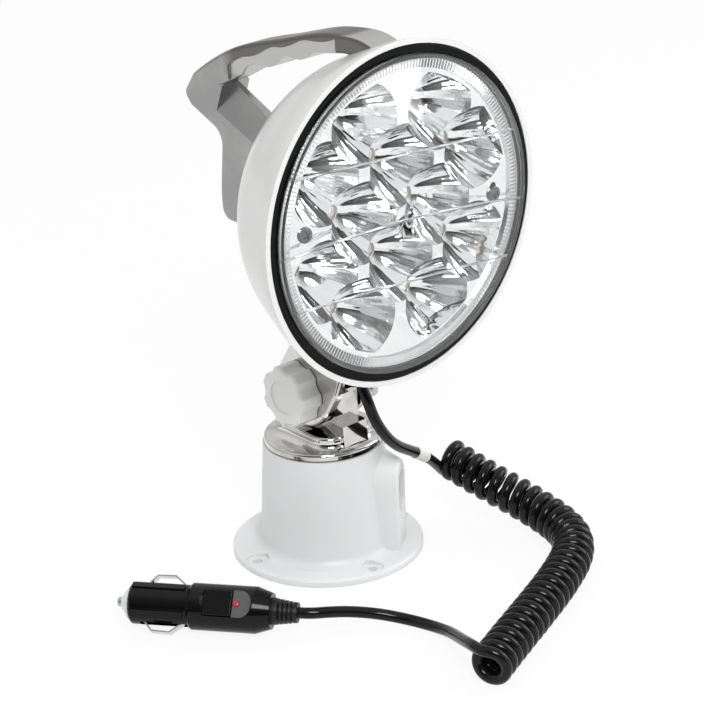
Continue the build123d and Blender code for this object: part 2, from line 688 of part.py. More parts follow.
for side, name in ((-1, "left"), (1, "right")):
    with BuildPart() as knob:
        with BuildSketch(Plane.YZ.offset(side * knob_inside)):
            with Locations((PIVOT_Y, PIVOT_Z)):
                Circle(KNOB_RADIUS)
                with PolarLocations(KNOB_RADIUS + KNOB_SCOOP_RADIUS - KNOB_LOBE_DEPTH, KNOB_LOBES):
                    Circle(KNOB_SCOOP_RADIUS, mode=Mode.SUBTRACT)
            fillet(vertices(), KNOB_EDGE_ROUND)
        extrude(amount=side * KNOB_THICKNESS)
        knob_face = knob.faces().sort_by(Axis.X)[0 if side < 0 else -1]
        fillet(knob_face.edges(), KNOB_EDGE_ROUND)
        with BuildSketch(Plane.YZ.offset(side * knob_outside)):
            with Locations((PIVOT_Y, PIVOT_Z)):
                Circle(KNOB_HUB_RADIUS)
        extrude(amount=-side * KNOB_HUB_RECESS, mode=Mode.SUBTRACT)
        with BuildSketch(Plane.YZ.offset(side * knob_inside)):
            with Locations((PIVOT_Y, PIVOT_Z)):
                RegularPolygon(KNOB_NUT_FLATS / 2 + RUNNING_CLEARANCE, 6, major_radius=False)
        extrude(amount=side * KNOB_NUT_THICKNESS, mode=Mode.SUBTRACT)
    finish(knob, "knob_" + name)

    with BuildPart() as knob_nut:
        with BuildSketch(Plane.YZ.offset(side * knob_inside)):
            with Locations((PIVOT_Y, PIVOT_Z)):
                RegularPolygon(KNOB_NUT_FLATS / 2, 6, major_radius=False)
                Circle(STUD_RADIUS + RUNNING_CLEARANCE, mode=Mode.SUBTRACT)
        extrude(amount=side * KNOB_NUT_THICKNESS)
    finish(knob_nut, "knob_nut_" + name)

# Front of the lamp: black rim, domed lens, seal and ribbed trim ring
lens_flange_front = RIM_THICKNESS
lens_flange_back = lens_flange_front + LENS_FLANGE_THICKNESS

with BuildPart() as lens_rim:
    with BuildSketch(lamp_plane(0)):
        Circle(RIM_RADIUS)
        Circle(rim_bore, mode=Mode.SUBTRACT)
    extrude(amount=-RIM_THICKNESS)
    with BuildSketch(lamp_plane(RIM_THICKNESS)):
        Circle(RIM_RADIUS)
        Circle(lens_flange_radius + SEAT_GAP, mode=Mode.SUBTRACT)
    extrude(amount=-(SHELL_SHOULDER_DEPTH - RIM_THICKNESS))
    fillet(lens_rim.faces().sort_by(Axis.Y)[0].edges(), 0.6)
finish(lens_rim, "lens_rim")

lens_ball = (lens_radius**2 + LENS_DOME**2) / (2 * LENS_DOME)
lens_inner_ball = lens_ball - LENS_WALL
lens_face = LAMP_FRONT - LENS_STAND
lens_centre = (lens_face - LENS_DOME + lens_ball, LAMP_HEIGHT)
outer_sweep = degrees(asin(lens_radius / lens_ball))
inner_sweep = degrees(asin(lens_bore / lens_inner_ball))

with BuildPart() as lens:
    with BuildSketch(Plane.YZ):
        with BuildLine():
            dome = CenterArc(lens_centre, lens_ball, 180 - outer_sweep, outer_sweep)
            inner_dome = CenterArc(lens_centre, lens_inner_ball, 180 - inner_sweep, inner_sweep)
            Line(dome @ 1, inner_dome @ 1)
            Polyline(
                dome @ 0,
                (LAMP_FRONT + lens_flange_front, LAMP_HEIGHT + lens_radius),
                (LAMP_FRONT + lens_flange_front, LAMP_HEIGHT + lens_flange_radius),
                (LAMP_FRONT + lens_flange_back, LAMP_HEIGHT + lens_flange_radius),
                (LAMP_FRONT + lens_flange_back, LAMP_HEIGHT + lens_bore),
                inner_dome @ 0,
            )
        make_face()
    revolve(axis=lamp_axis)
finish(lens, "lens")

with BuildPart() as lens_seal:
    with BuildSketch(lamp_plane(lens_flange_back)):
        Circle(lens_flange_radius)
        Circle(seal_bore, mode=Mode.SUBTRACT)
    extrude(amount=-(SHELL_SHOULDER_DEPTH - lens_flange_back))
finish(lens_seal, "lens_seal")

with BuildPart() as trim_ring:
    with BuildSketch(lamp_plane(TRAY_FRONT_DEPTH)):
        Circle(tray_flange_radius)
        Circle(trim_bore, mode=Mode.SUBTRACT)
    extrude(amount=TRIM_THICKNESS)
finish(trim_ring, "trim_ring")

# Reflector tray: overlapping paraboloid cups that meet in straight ridges
cup_focus = CUP_RADIUS * CUP_RADIUS / (4 * CUP_DEPTH)
grid_turn = radians(45 + REFLECTOR_TURN)
cup_places = []
for column in (-1.5, -0.5, 0.5, 1.5):
    for row in (-1.5, -0.5, 0.5, 1.5):
        if abs(column) + abs(row) < 3:
            along = column * CUP_PITCH
            across = row * CUP_PITCH
            x = along * cos(grid_turn) - across * sin(grid_turn)
            z = along * sin(grid_turn) + across * cos(grid_turn)
            cup_places.append((x, z))


def cup_form(place, wall, margin):
    """A filled paraboloid for one cup, thickened by a wall and carried past the tray's face."""
    bottom = TRAY_FRONT_DEPTH + CUP_DEPTH + wall
    height = bottom - TRAY_FRONT_DEPTH + margin
    focus = (CUP_RADIUS + wall) ** 2 / (4 * (CUP_DEPTH + wall))
    rim = sqrt(4 * focus * height)
    x, z = place
    vertex = LAMP_FRONT + bottom
    with BuildPart() as form:
        with BuildSketch(Plane(origin=(x, vertex, LAMP_HEIGHT + z), x_dir=(1, 0, 0), z_dir=(0, 0, 1))):
            with BuildLine():
                Bezier((0, 0), (rim / 2, 0), (rim, -height))
                Line((rim, -height), (0, -height))
                Line((0, -height), (0, 0))
            make_face()
        revolve(axis=Axis((x, vertex, LAMP_HEIGHT + z), (0, 1, 0)))
    return form.part


inner_cups = [cup_form(place, 0, 1) for place in cup_places]
outer_cups = [cup_form(place, CUP_WALL, 0) for place in cup_places]

with BuildPart() as cup_space:
    add(inner_cups)
    with BuildSketch(lamp_plane(-10)):
        Circle(CUP_FIELD_RADIUS)
    extrude(amount=-60, mode=Mode.INTERSECT)

with BuildPart() as cup_walls:
    add(outer_cups)
    with BuildSketch(lamp_plane(-10)):
        Circle(CUP_FIELD_RADIUS + CUP_WALL)
    extrude(amount=-60, mode=Mode.INTERSECT)

turn = radians(REFLECTOR_TURN)
screw_places = []
for side in (-1, 1):
    x = side * REFLECTOR_SCREW_X
    z = REFLECTOR_SCREW_Z
    screw_places.append((x * cos(turn) - z * sin(turn), x * sin(turn) + z * cos(turn)))

tray_flange_thickness = SHELL_SHOULDER_DEPTH - TRAY_FRONT_DEPTH
board_depth = TRAY_FRONT_DEPTH + CUP_DEPTH + CUP_WALL
heat_sink_depth = board_depth + BOARD_THICKNESS
fin_depth = heat_sink_depth + HEAT_SINK_PLATE
driver_depth = fin_depth + FIN_DEPTH

with BuildPart() as reflector_tray:
    with BuildSketch(lamp_plane(TRAY_FRONT_DEPTH)):
        Circle(tray_flange_radius)
    extrude(amount=-tray_flange_thickness)
    add(cup_walls.part)
    with BuildSketch(lamp_plane(TRAY_FRONT_DEPTH)):
        with Locations(*screw_places):
            Circle(REFLECTOR_COLUMN_RADIUS)
    extrude(amount=-(board_depth - TRAY_FRONT_DEPTH))
    add(cup_space.part, mode=Mode.SUBTRACT)
    with BuildSketch(lamp_plane(TRAY_FRONT_DEPTH + CUP_DEPTH / 2)):
        with Locations(*cup_places):
            Circle(CUP_PORT_RADIUS)
    extrude(amount=-CUP_DEPTH, mode=Mode.SUBTRACT)
    with BuildSketch(lamp_plane(TRAY_FRONT_DEPTH)):
        with Locations(*screw_places):
            Circle(REFLECTOR_SCREW_RADIUS + RUNNING_CLEARANCE)
    extrude(amount=-2 * CUP_DEPTH, mode=Mode.SUBTRACT)
finish(reflector_tray, "reflector_tray")

with BuildPart() as reflector_screws:
    with BuildSketch(lamp_plane(TRAY_FRONT_DEPTH)):
        with Locations(*screw_places):
            Circle(REFLECTOR_SCREW_HEAD_RADIUS)
    extrude(amount=REFLECTOR_SCREW_HEAD_HEIGHT)
    fillet(reflector_screws.edges().group_by(Axis.Y)[0], REFLECTOR_SCREW_EDGE_ROUND)
    with BuildSketch(lamp_plane(TRAY_FRONT_DEPTH)):
        with Locations(*screw_places):
            Circle(REFLECTOR_SCREW_RADIUS)
    extrude(amount=-(fin_depth - TRAY_FRONT_DEPTH))
finish(reflector_screws, "reflector_screws")

# Light source: board, twelve emitters, finned heat sink and driver
with BuildPart() as led_board:
    with BuildSketch(lamp_plane(board_depth)):
        Circle(BOARD_RADIUS)
        with Locations(*screw_places):
            Circle(REFLECTOR_SCREW_RADIUS + RUNNING_CLEARANCE, mode=Mode.SUBTRACT)
    extrude(amount=-BOARD_THICKNESS)
finish(led_board, "led_board")

with BuildPart() as led_emitters:
    with BuildSketch(lamp_plane(board_depth)):
        with Locations(*cup_places):
            Rectangle(EMITTER_SIZE, EMITTER_SIZE)
    extrude(amount=EMITTER_HEIGHT)
    with BuildSketch(lamp_plane(board_depth - EMITTER_HEIGHT)):
        with Locations(*cup_places):
            Circle(EMITTER_DOME_RADIUS)
    extrude(amount=EMITTER_DOME_RADIUS / 2)
finish(led_emitters, "led_emitters")

with BuildPart() as heat_sink:
    with BuildSketch(lamp_plane(fin_depth)):
        Circle(FIN_FIELD_RADIUS)
    extrude(amount=-FIN_DEPTH)
    with BuildSketch(lamp_plane(fin_depth)):
        with GridLocations(FIN_PITCH, 0, FIN_COUNT, 1):
            Rectangle(FIN_THICKNESS, 2 * FIN_FIELD_RADIUS)
    extrude(amount=-FIN_DEPTH, mode=Mode.INTERSECT)
    with BuildSketch(lamp_plane(heat_sink_depth)):
        Circle(HEAT_SINK_RADIUS)
    extrude(amount=-HEAT_SINK_PLATE)
    with BuildSketch(lamp_plane(heat_sink_depth)):
        with Locations(*screw_places):
            Circle(REFLECTOR_SCREW_RADIUS + RUNNING_CLEARANCE)
    extrude(amount=-2 * HEAT_SINK_PLATE, mode=Mode.SUBTRACT)
finish(heat_sink, "heat_sink")

with BuildPart() as driver_box:
    with BuildSketch(lamp_plane(driver_depth)):
        RectangleRounded(DRIVER_SIZE[0], DRIVER_SIZE[1], 3)
    extrude(amount=-DRIVER_SIZE[2])
finish(driver_box, "driver_box")

# Handle: one casting with a finger grip, a heel and a broad spine down the back of the shell
heel = [HANDLE_TOP[-1], *HANDLE_HEEL, HANDLE_TOE]
leg_start = Vector(0, *HANDLE_INNER_EDGE[0])
leg_end = Vector(0, *HANDLE_INNER_EDGE[-1])
leg_way = (leg_end - leg_start).normalized()

with BuildPart() as handle:
    with BuildSketch(Plane.YZ):
        with BuildLine():
            Spline(*HANDLE_TOP)
            FilletPolyline(*heel, radius=HANDLE_HEEL_ROUNDS)
            Polyline(HANDLE_TOE, *HANDLE_INNER_EDGE, FINGER_GRIP[0])
            Spline(*FINGER_GRIP)
            Polyline(FINGER_GRIP[-1], HANDLE_NOSE, HANDLE_TOP[0])
        make_face()
    extrude(amount=HANDLE_HALF_WIDTH, both=True)
    side_faces = handle.faces().filter_by(Axis.X)
    fillet(side_faces.edges().filter_by(lambda edge: edge.length > 12), HANDLE_EDGE_ROUND)
    for side in (-1, 1):
        with BuildSketch(Plane.YZ.offset(side * (HANDLE_HALF_WIDTH - BAND_RECESS))):
            with BuildLine():
                Spline(*BAND_EDGE)
                Polyline(BAND_EDGE[-1], *BAND_FLOOR, BAND_EDGE[0])
            make_face()
        extrude(amount=side * 2 * BAND_RECESS, mode=Mode.SUBTRACT)
    with BuildSketch(Plane(origin=leg_start, x_dir=(1, 0, 0), z_dir=leg_way)):
        for side in (-1, 1):
            with BuildLine():
                Polyline(
                    (side * HANDLE_LEG_EDGE / 2, 0),
                    (side * 2 * HANDLE_HALF_WIDTH, 0),
                    (side * 2 * HANDLE_HALF_WIDTH, HANDLE_LEG_TAPER),
                    (side * HANDLE_HALF_WIDTH, HANDLE_LEG_TAPER),
                    close=True,
                )
            make_face()
    extrude(amount=leg_way.dot(leg_end - leg_start), mode=Mode.SUBTRACT)
    add(shell_form.part, mode=Mode.SUBTRACT)
    for height in HANDLE_SCREW_HEIGHTS:
        with BuildSketch(Plane.XZ.offset(-shell_back - HANDLE_SCREW_GRIP)):
            with Locations((0, height)):
                Circle(HANDLE_SCREW_RADIUS + RUNNING_CLEARANCE)
        extrude(amount=2 * HANDLE_SCREW_GRIP, mode=Mode.SUBTRACT)
finish(handle, "handle")

with BuildPart() as handle_screws:
    pad_face = shell_back - HANDLE_PAD_DEPTH
    with BuildSketch(Plane.XZ.offset(-pad_face)):
        for height in HANDLE_SCREW_HEIGHTS:
            with Locations((0, height)):
                Circle(HANDLE_SCREW_HEAD_RADIUS)
    extrude(amount=HANDLE_SCREW_HEAD_HEIGHT)
    with BuildSketch(Plane.XZ.offset(-pad_face)):
        for height in HANDLE_SCREW_HEIGHTS:
            with Locations((0, height)):
                Circle(HANDLE_SCREW_RADIUS)
    extrude(amount=-HANDLE_PAD_DEPTH - HANDLE_SCREW_GRIP + 1)
finish(handle_screws, "handle_screws")

# Accessory plug: frame, moulded body, nose, contact, fuse, ground clips, panel, switch and boot
plug_way = Vector(cos(radians(PLUG_AZIMUTH)), sin(radians(PLUG_AZIMUTH)), 0)
plug_side = Vector(plug_way.Y, -plug_way.X, 0)
plug_axis = Axis(PLUG_TIP, plug_way)


def plug_out(angle):
    """The direction out of the plug's axis at an angle from its switch panel."""
    turned = radians(PLUG_TURN + angle)
    return Vector(0, 0, cos(turned)) + plug_side * sin(turned)


def plug_flat(along, out, angle):
    """A plane that faces out of the plug at a distance along it and out from its axis."""
    spot = Vector(*PLUG_TIP) + plug_way * along + plug_out(angle) * out
    return Plane(origin=spot, x_dir=plug_way, z_dir=plug_out(angle))


def plug_cross(along):
    """A plane across the plug's axis that faces its cord end."""
    return Plane(origin=Vector(*PLUG_TIP) + plug_way * along, x_dir=plug_side, z_dir=plug_way)


plug_section = Plane(origin=PLUG_TIP, x_dir=plug_way, z_dir=plug_way.cross(plug_out(180)))
panel_floor = PANEL_FACE - PANEL_THICKNESS
panel_centre = PANEL_START + PANEL_LENGTH / 2
switch_centre = SWITCH_START + SWITCH_LENGTH / 2
switch_top = PANEL_FACE + SWITCH_STAND
switch_pivot = panel_floor - SWITCH_PIN_RADIUS - 0.3
clip_slot_start = CLIP_OUTLINE[0][0] - CLIP_THICKNESS
clip_slot_end = CLIP_OUTLINE[-1][0] + CLIP_THICKNESS

with BuildPart() as plug_body:
    with BuildSketch(plug_section):
        with BuildLine():
            Polyline(
                (BARREL_START, 0),
                (BARREL_START, BARREL_RADIUS - 1),
                (BARREL_START + 1.2, BARREL_RADIUS),
                (BODY_START, BARREL_RADIUS),
                (BODY_START + 1.2, BODY_RADIUS),
                (TAPER_START, BODY_RADIUS),
                (BODY_END, BODY_END_RADIUS),
                (BODY_END, 0),
                close=True,
            )
        make_face()
    revolve(axis=plug_axis)
    for angle in RIB_ANGLES:
        with BuildSketch(plug_flat((RIB_START + RIB_END) / 2, BARREL_RADIUS - 1, angle)):
            Rectangle(RIB_END - RIB_START, RIB_WIDTH)
        extrude(amount=1 + RIB_HEIGHT)
    for angle in (-90, 90):
        with BuildSketch(plug_flat((clip_slot_start + clip_slot_end) / 2, CLIP_SLOT_FLOOR, angle)):
            Rectangle(clip_slot_end - clip_slot_start, CLIP_WIDTH + 2 * CLIP_SLOT_SIDE_GAP)
        extrude(amount=BARREL_RADIUS, mode=Mode.SUBTRACT)
    with BuildSketch(plug_cross(BARREL_START)):
        Circle(BORE_RADIUS)
    extrude(amount=BORE_END - BARREL_START, mode=Mode.SUBTRACT)
    with BuildSketch(plug_cross(BOOT_START)):
        Circle(BOOT_RADIUS + RUNNING_CLEARANCE)
    extrude(amount=BODY_END - BOOT_START + 1, mode=Mode.SUBTRACT)
    with BuildSketch(plug_flat(panel_centre, panel_floor, 0)):
        RectangleRounded(PANEL_LENGTH + 2 * SEAT_GAP, PANEL_WIDTH + 2 * SEAT_GAP, PANEL_CORNER)
    extrude(amount=BODY_RADIUS, mode=Mode.SUBTRACT)
    with BuildSketch(plug_flat(switch_centre, PANEL_FACE - SWITCH_WELL_DEPTH, 0)):
        Rectangle(SWITCH_LENGTH + 2 * SWITCH_GAP, SWITCH_WIDTH + 2 * SWITCH_GAP)
    extrude(amount=BODY_RADIUS, mode=Mode.SUBTRACT)
    with BuildSketch(Plane(
        origin=Vector(*PLUG_TIP) + plug_way * switch_centre + plug_out(0) * switch_pivot,
        x_dir=plug_way,
        z_dir=plug_out(90),
    )):
        Circle(SWITCH_PIN_RADIUS + RUNNING_CLEARANCE)
    extrude(amount=SWITCH_WIDTH / 2 + 1.5, both=True, mode=Mode.SUBTRACT)
finish(plug_body, "plug_body")

with BuildPart() as plug_nose:
    with BuildSketch(plug_section):
        with BuildLine():
            Polyline(
                (NOSE_START, CONTACT_RADIUS + RUNNING_CLEARANCE),
                (NOSE_START, 3.4),
                (NOSE_START + 0.8, 4.4),
                (NOSE_START + 3.0, 7.2),
                (NOSE_START + 3.6, 7.2),
                (NOSE_START + 3.6, NOSE_RADIUS),
                (BARREL_START, NOSE_RADIUS),
                (BARREL_START, CONTACT_RADIUS + RUNNING_CLEARANCE),
                close=True,
            )
        make_face()
    revolve(axis=plug_axis)
finish(plug_nose, "plug_nose")

with BuildPart() as plug_contact:
    with BuildSketch(plug_cross(0)):
        Circle(CONTACT_RADIUS)
    extrude(amount=BARREL_START + SEAT_GAP + CONTACT_FLANGE_THICKNESS)
    fillet(plug_contact.faces().sort_by(plug_axis)[0].edges(), 1.2)
    with BuildSketch(plug_cross(BARREL_START + SEAT_GAP)):
        Circle(CONTACT_FLANGE_RADIUS)
    extrude(amount=CONTACT_FLANGE_THICKNESS)
finish(plug_contact, "plug_contact")

spring_start = BARREL_START + SEAT_GAP + CONTACT_FLANGE_THICKNESS
fuse_start = BORE_END - FUSE_LENGTH

with BuildPart() as contact_spring:
    with BuildSketch(plug_cross(spring_start)):
        Circle(CONTACT_FLANGE_RADIUS)
        Circle(CONTACT_FLANGE_RADIUS - SPRING_WIRE, mode=Mode.SUBTRACT)
    extrude(amount=fuse_start - spring_start)
finish(contact_spring, "contact_spring")

with BuildPart() as plug_fuse:
    with BuildSketch(plug_cross(fuse_start)):
        Circle(FUSE_RADIUS)
    extrude(amount=FUSE_LENGTH)
finish(plug_fuse, "plug_fuse")

with BuildPart() as ground_clips:
    for angle in (-90, 90):
        with BuildSketch(Plane(origin=PLUG_TIP, x_dir=plug_way, z_dir=plug_way.cross(plug_out(angle)))):
            with BuildLine():
                Polyline(*CLIP_OUTLINE)
            trace(line_width=CLIP_THICKNESS)
        extrude(amount=CLIP_WIDTH / 2, both=True)
finish(ground_clips, "ground_clips")

with BuildPart() as plug_panel:
    with BuildSketch(plug_flat(panel_centre, panel_floor, 0)):
        RectangleRounded(PANEL_LENGTH, PANEL_WIDTH, PANEL_CORNER)
        with Locations((switch_centre + SWITCH_GAP - panel_centre - PANEL_LENGTH / 2, 0)):
            Rectangle(SWITCH_LENGTH + PANEL_LENGTH, PANEL_WIDTH, mode=Mode.SUBTRACT)
        with Locations((LAMP_PIP_PLACE - panel_centre, 0)):
            Circle(LAMP_PIP_RADIUS + RUNNING_CLEARANCE, mode=Mode.SUBTRACT)
    extrude(amount=PANEL_THICKNESS)
finish(plug_panel, "plug_panel")

with BuildPart() as plug_lamp:
    with BuildSketch(plug_flat(LAMP_PIP_PLACE, panel_floor, 0)):
        Circle(LAMP_PIP_RADIUS)
    extrude(amount=PANEL_THICKNESS + 0.9)
    fillet(plug_lamp.faces().sort_by(Axis(PLUG_TIP, plug_out(0)))[-1].edges(), 0.8)
finish(plug_lamp, "plug_lamp")

with BuildPart() as plug_switch:
    with BuildSketch(plug_flat(switch_centre, switch_top, 0)):
        Rectangle(SWITCH_LENGTH, SWITCH_WIDTH)
    extrude(amount=-SWITCH_THICKNESS)
    fillet(plug_switch.faces().sort_by(Axis(PLUG_TIP, plug_out(0)))[-1].edges(), 0.5)
    with BuildSketch(Plane(
        origin=Vector(*PLUG_TIP) + plug_way * switch_centre + plug_out(0) * switch_pivot,
        x_dir=plug_way,
        z_dir=plug_out(90),
    )):
        Circle(SWITCH_PIN_RADIUS)
    extrude(amount=SWITCH_WIDTH / 2 + 1.3, both=True)
finish(plug_switch, "plug_switch")

with BuildPart() as plug_boot:
    with BuildSketch(plug_section):
        with BuildLine():
            Polyline(
                (BOOT_START, 0),
                (BOOT_START, BOOT_RADIUS),
                (BODY_END + 1.5, BOOT_RADIUS),
                (BOOT_END, BOOT_END_RADIUS),
                (BOOT_END, 0),
                close=True,
            )
        make_face()
    revolve(axis=plug_axis)
    for groove in range(BOOT_GROOVES):
        place = BODY_END + 3.4 + groove * 2.2
        with BuildSketch(plug_cross(place)):
            Circle(BOOT_RADIUS)
            Circle(BOOT_END_RADIUS - BOOT_GROOVE_DEPTH, mode=Mode.SUBTRACT)
        extrude(amount=1.0, mode=Mode.SUBTRACT)
finish(plug_boot, "plug_boot")

# Cord: lead from the gland, curly stretch as one fat tube, and the tail to the plug's boot
boot_end = Vector(*PLUG_TIP) + plug_way * BOOT_END
lead_start = [CORD_EXIT, tuple(Vector(*CORD_EXIT) + gland_out * CORD_DROP)]
tail_start = [tuple(boot_end), tuple(boot_end + plug_way * TAIL_DROP)]

for name, route, radius in (
    ("cord_lead", lead_start + LEAD_ROUTE, CORD_RADIUS),
    ("cord_coil", COIL_ROUTE, COIL_RADIUS),
    ("cord_tail", tail_start + TAIL_ROUTE, CORD_RADIUS),
):
    tube, bends = cord_tube(route, radius)
    finish(tube, name)
    print(name, "bend radii", [round(bend, 1) for bend in bends])
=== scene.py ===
"""Looks of a deck-mounted spotlight: finishes, curly cord, small parts, lamps and camera.

Lengths are in metres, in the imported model's frame: +Z up the swivel axis, the lamp faces -Y.
"""

import logging
from dataclasses import dataclass
from enum import Enum
from math import atan2, cos, pi, radians, sin

import bmesh
import bpy
from mathutils import Matrix, Vector


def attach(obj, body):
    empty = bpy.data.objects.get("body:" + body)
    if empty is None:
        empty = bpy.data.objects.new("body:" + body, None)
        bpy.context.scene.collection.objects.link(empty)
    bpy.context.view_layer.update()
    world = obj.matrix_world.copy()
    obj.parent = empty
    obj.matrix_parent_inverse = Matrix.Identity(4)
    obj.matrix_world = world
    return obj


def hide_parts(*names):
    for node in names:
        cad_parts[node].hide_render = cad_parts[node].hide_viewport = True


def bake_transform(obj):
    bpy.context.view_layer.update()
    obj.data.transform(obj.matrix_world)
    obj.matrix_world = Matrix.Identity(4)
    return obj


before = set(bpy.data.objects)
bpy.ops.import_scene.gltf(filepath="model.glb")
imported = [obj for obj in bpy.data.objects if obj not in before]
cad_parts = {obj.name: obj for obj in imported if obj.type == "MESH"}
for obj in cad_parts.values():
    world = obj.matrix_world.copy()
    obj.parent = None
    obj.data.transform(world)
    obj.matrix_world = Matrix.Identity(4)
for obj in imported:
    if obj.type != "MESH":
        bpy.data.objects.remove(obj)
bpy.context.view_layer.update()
LAMP_HEIGHT = 0.2007
LOG = logging.getLogger("spotlight")

Number = float | int
Colour = tuple[float, float, float]
Place = tuple[float, float, float]


# Shader building


class Wire:
    """A value in a node tree that plain expressions can work with."""

    def __init__(self, tree: bpy.types.NodeTree, socket: bpy.types.NodeSocket) -> None:
        """Wrap an output socket.

        Args:
            tree: the node tree that holds the socket.
            socket: the output socket.
        """
        self.tree = tree
        self.socket = socket

    def maths(self, operation: str, *values: "Wire | Number") -> "Wire":
        """Add one Math node.

        Args:
            operation: the node's operation.
            values: its inputs, in order.

        Returns:
            The node's result.
        """
        node = self.tree.nodes.new("ShaderNodeMath")
        node.operation = operation
        for slot, value in zip(node.inputs, values):
            feed(self.tree, slot, value)
        return Wire(self.tree, node.outputs[0])

    def __add__(self, other: "Wire | Number") -> "Wire":
        """Self plus other."""
        return self.maths("ADD", self, other)

    __radd__ = __add__

    def __mul__(self, other: "Wire | Number") -> "Wire":
        """Self times other."""
        return self.maths("MULTIPLY", self, other)

    __rmul__ = __mul__

    def __sub__(self, other: "Wire | Number") -> "Wire":
        """Self less other."""
        return self.maths("SUBTRACT", self, other)

    def __rsub__(self, other: "Wire | Number") -> "Wire":
        """Other less self."""
        return self.maths("SUBTRACT", other, self)

    def __truediv__(self, other: "Wire | Number") -> "Wire":
        """Self over other."""
        return self.maths("DIVIDE", self, other)

    def __pow__(self, other: Number) -> "Wire":
        """Self to a power."""
        return self.maths("POWER", self, other)

    def size(self) -> "Wire":
        """Self without its sign."""
        return self.maths("ABSOLUTE", self)

    def fraction(self) -> "Wire":
        """What self has after its point."""
        return self.maths("FRACT", self)

    def cosine(self) -> "Wire":
        """The cosine of self."""
        return self.maths("COSINE", self)

    def sine(self) -> "Wire":
        """The sine of self."""
        return self.maths("SINE", self)

    def angle_over(self, across: "Wire") -> "Wire":
        """The angle of a point that lies self up and so far across."""
        return self.maths("ARCTAN2", self, across)

    def either(self, other: "Wire | Number") -> "Wire":
        """The larger of self and other."""
        return self.maths("MAXIMUM", self, other)

    def step(self, low: Number, high: Number) -> "Wire":
        """A smooth step from 0 at low to 1 at high.

        Args:
            low: where the result leaves 0.
            high: where the result reaches 1.

        Returns:
            The eased value.
        """
        node = self.tree.nodes.new("ShaderNodeMapRange")
        node.interpolation_type = "SMOOTHSTEP"
        for slot, value in zip(node.inputs, (self, low, high, 0.0, 1.0)):
            feed(self.tree, slot, value)
        return Wire(self.tree, node.outputs[0])


def feed(tree: bpy.types.NodeTree, slot: bpy.types.NodeSocket, value: object) -> None:
    """Link a wire to an input, or set the input to a plain value.

    Args:
        tree: the node tree.
        slot: the input socket.
        value: a Wire, a number, a colour or a vector.
    """
    if isinstance(value, Wire):
        tree.links.new(value.socket, slot)
    elif slot.type == "RGBA" and len(value) == 3:
        slot.default_value = (*value, 1.0)
    else:
        slot.default_value = value


def add_node(
    tree: bpy.types.NodeTree,
    kind: str,
    settings: dict | None = None,
    inputs: dict | None = None,
    output: int | str = 0,
) -> Wire:
    """Add any node to a tree.

    Args:
        tree: the node tree.
        kind: the node's type.
        settings: properties that are set first; "stops" holds a ramp's places and colours.
        inputs: input names or numbers, with the values or wires that go there.
        output: the output that is wanted.

    Returns:
        That output.
    """
    node = tree.nodes.new(kind)
    for name, value in (settings or {}).items():
        if name == "stops":
            ramp = node.color_ramp
            while len(ramp.elements) < len(value):
                ramp.elements.new(1.0)
            for element, (place, colour) in zip(ramp.elements, value):
                element.position = place
                element.color = (*colour, 1.0)
        else:
            setattr(node, name, value)
    for name, value in (inputs or {}).items():
        feed(tree, node.inputs[name], value)
    return Wire(tree, node.outputs[output])


class Paint:
    """One material around a Principled shader."""

    def __init__(self, name: str) -> None:
        """Start an empty material.

        Args:
            name: the material's name.
        """
        self.material = bpy.data.materials.new(name)
        self.material.use_nodes = True
        self.tree = self.material.node_tree
        self.tree.nodes.clear()
        self.output = self.tree.nodes.new("ShaderNodeOutputMaterial")
        self.shader = self.tree.nodes.new("ShaderNodeBsdfPrincipled")
        self.tree.links.new(self.shader.outputs[0], self.output.inputs["Surface"])

    def node(
        self,
        kind: str,
        settings: dict | None = None,
        inputs: dict | None = None,
        output: int | str = 0,
    ) -> Wire:
        """Add a node of any type, as add_node does."""
        return add_node(self.tree, kind, settings, inputs, output)

    def place(self) -> Wire:
        """The point on the surface, in the model's frame."""
        return self.node("ShaderNodeTexCoord", output="Object")

    def axes(self) -> tuple[Wire, Wire, Wire]:
        """The point's X, Y and Z."""
        split = self.tree.nodes.new("ShaderNodeSeparateXYZ")
        feed(self.tree, split.inputs[0], self.place())
        return tuple(Wire(self.tree, out) for out in split.outputs)

    def noise(
        self, size: float, detail: float = 2.0, stretch: Place = (1.0, 1.0, 1.0), fade: float = 0.55
    ) -> Wire:
        """Noise between 0 and 1.

        Args:
            size: the size of its spots in metres.
            detail: how many finer layers it has.
            stretch: factors on X, Y and Z.
            fade: how strong each finer layer is beside the one before.

        Returns:
            The noise.
        """
        spot = self.node("ShaderNodeMapping", inputs={"Vector": self.place(), "Scale": stretch})
        return self.node(
            "ShaderNodeTexNoise",
            inputs={"Vector": spot, "Scale": 1.0 / size, "Detail": detail, "Roughness": fade},
        )

    def blend(self, share: Wire | Number, first: object, second: object) -> Wire:
        """A colour between two colours.

        Args:
            share: 0 for the first colour, 1 for the second.
            first: a colour or a wire.
            second: a colour or a wire.

        Returns:
            The mixed colour.
        """
        mix = self.tree.nodes.new("ShaderNodeMix")
        mix.data_type = "RGBA"
        feed(self.tree, mix.inputs[0], share)
        feed(self.tree, mix.inputs[6], first)
        feed(self.tree, mix.inputs[7], second)
        return Wire(self.tree, mix.outputs[2])

    def bump(self, height: Wire, depth: float, normal: Wire | None = None) -> Wire:
        """A normal bent by a height.

        Args:
            height: the height, from 0 to 1.
            depth: how many metres a height of 1 stands up.
            normal: a normal to start from.

        Returns:
            The bent normal.
        """
        inputs = {"Height": height, "Distance": depth, "Strength": 1.0}
        if normal:
            inputs["Normal"] = normal
        return self.node("ShaderNodeBump", inputs=inputs)

    def set(self, **values: object) -> None:
        """Set the shader's sockets, named with underscores for spaces."""
        for name, value in values.items():
            feed(self.tree, self.shader.inputs[name.replace("_", " ")], value)


# Finishes


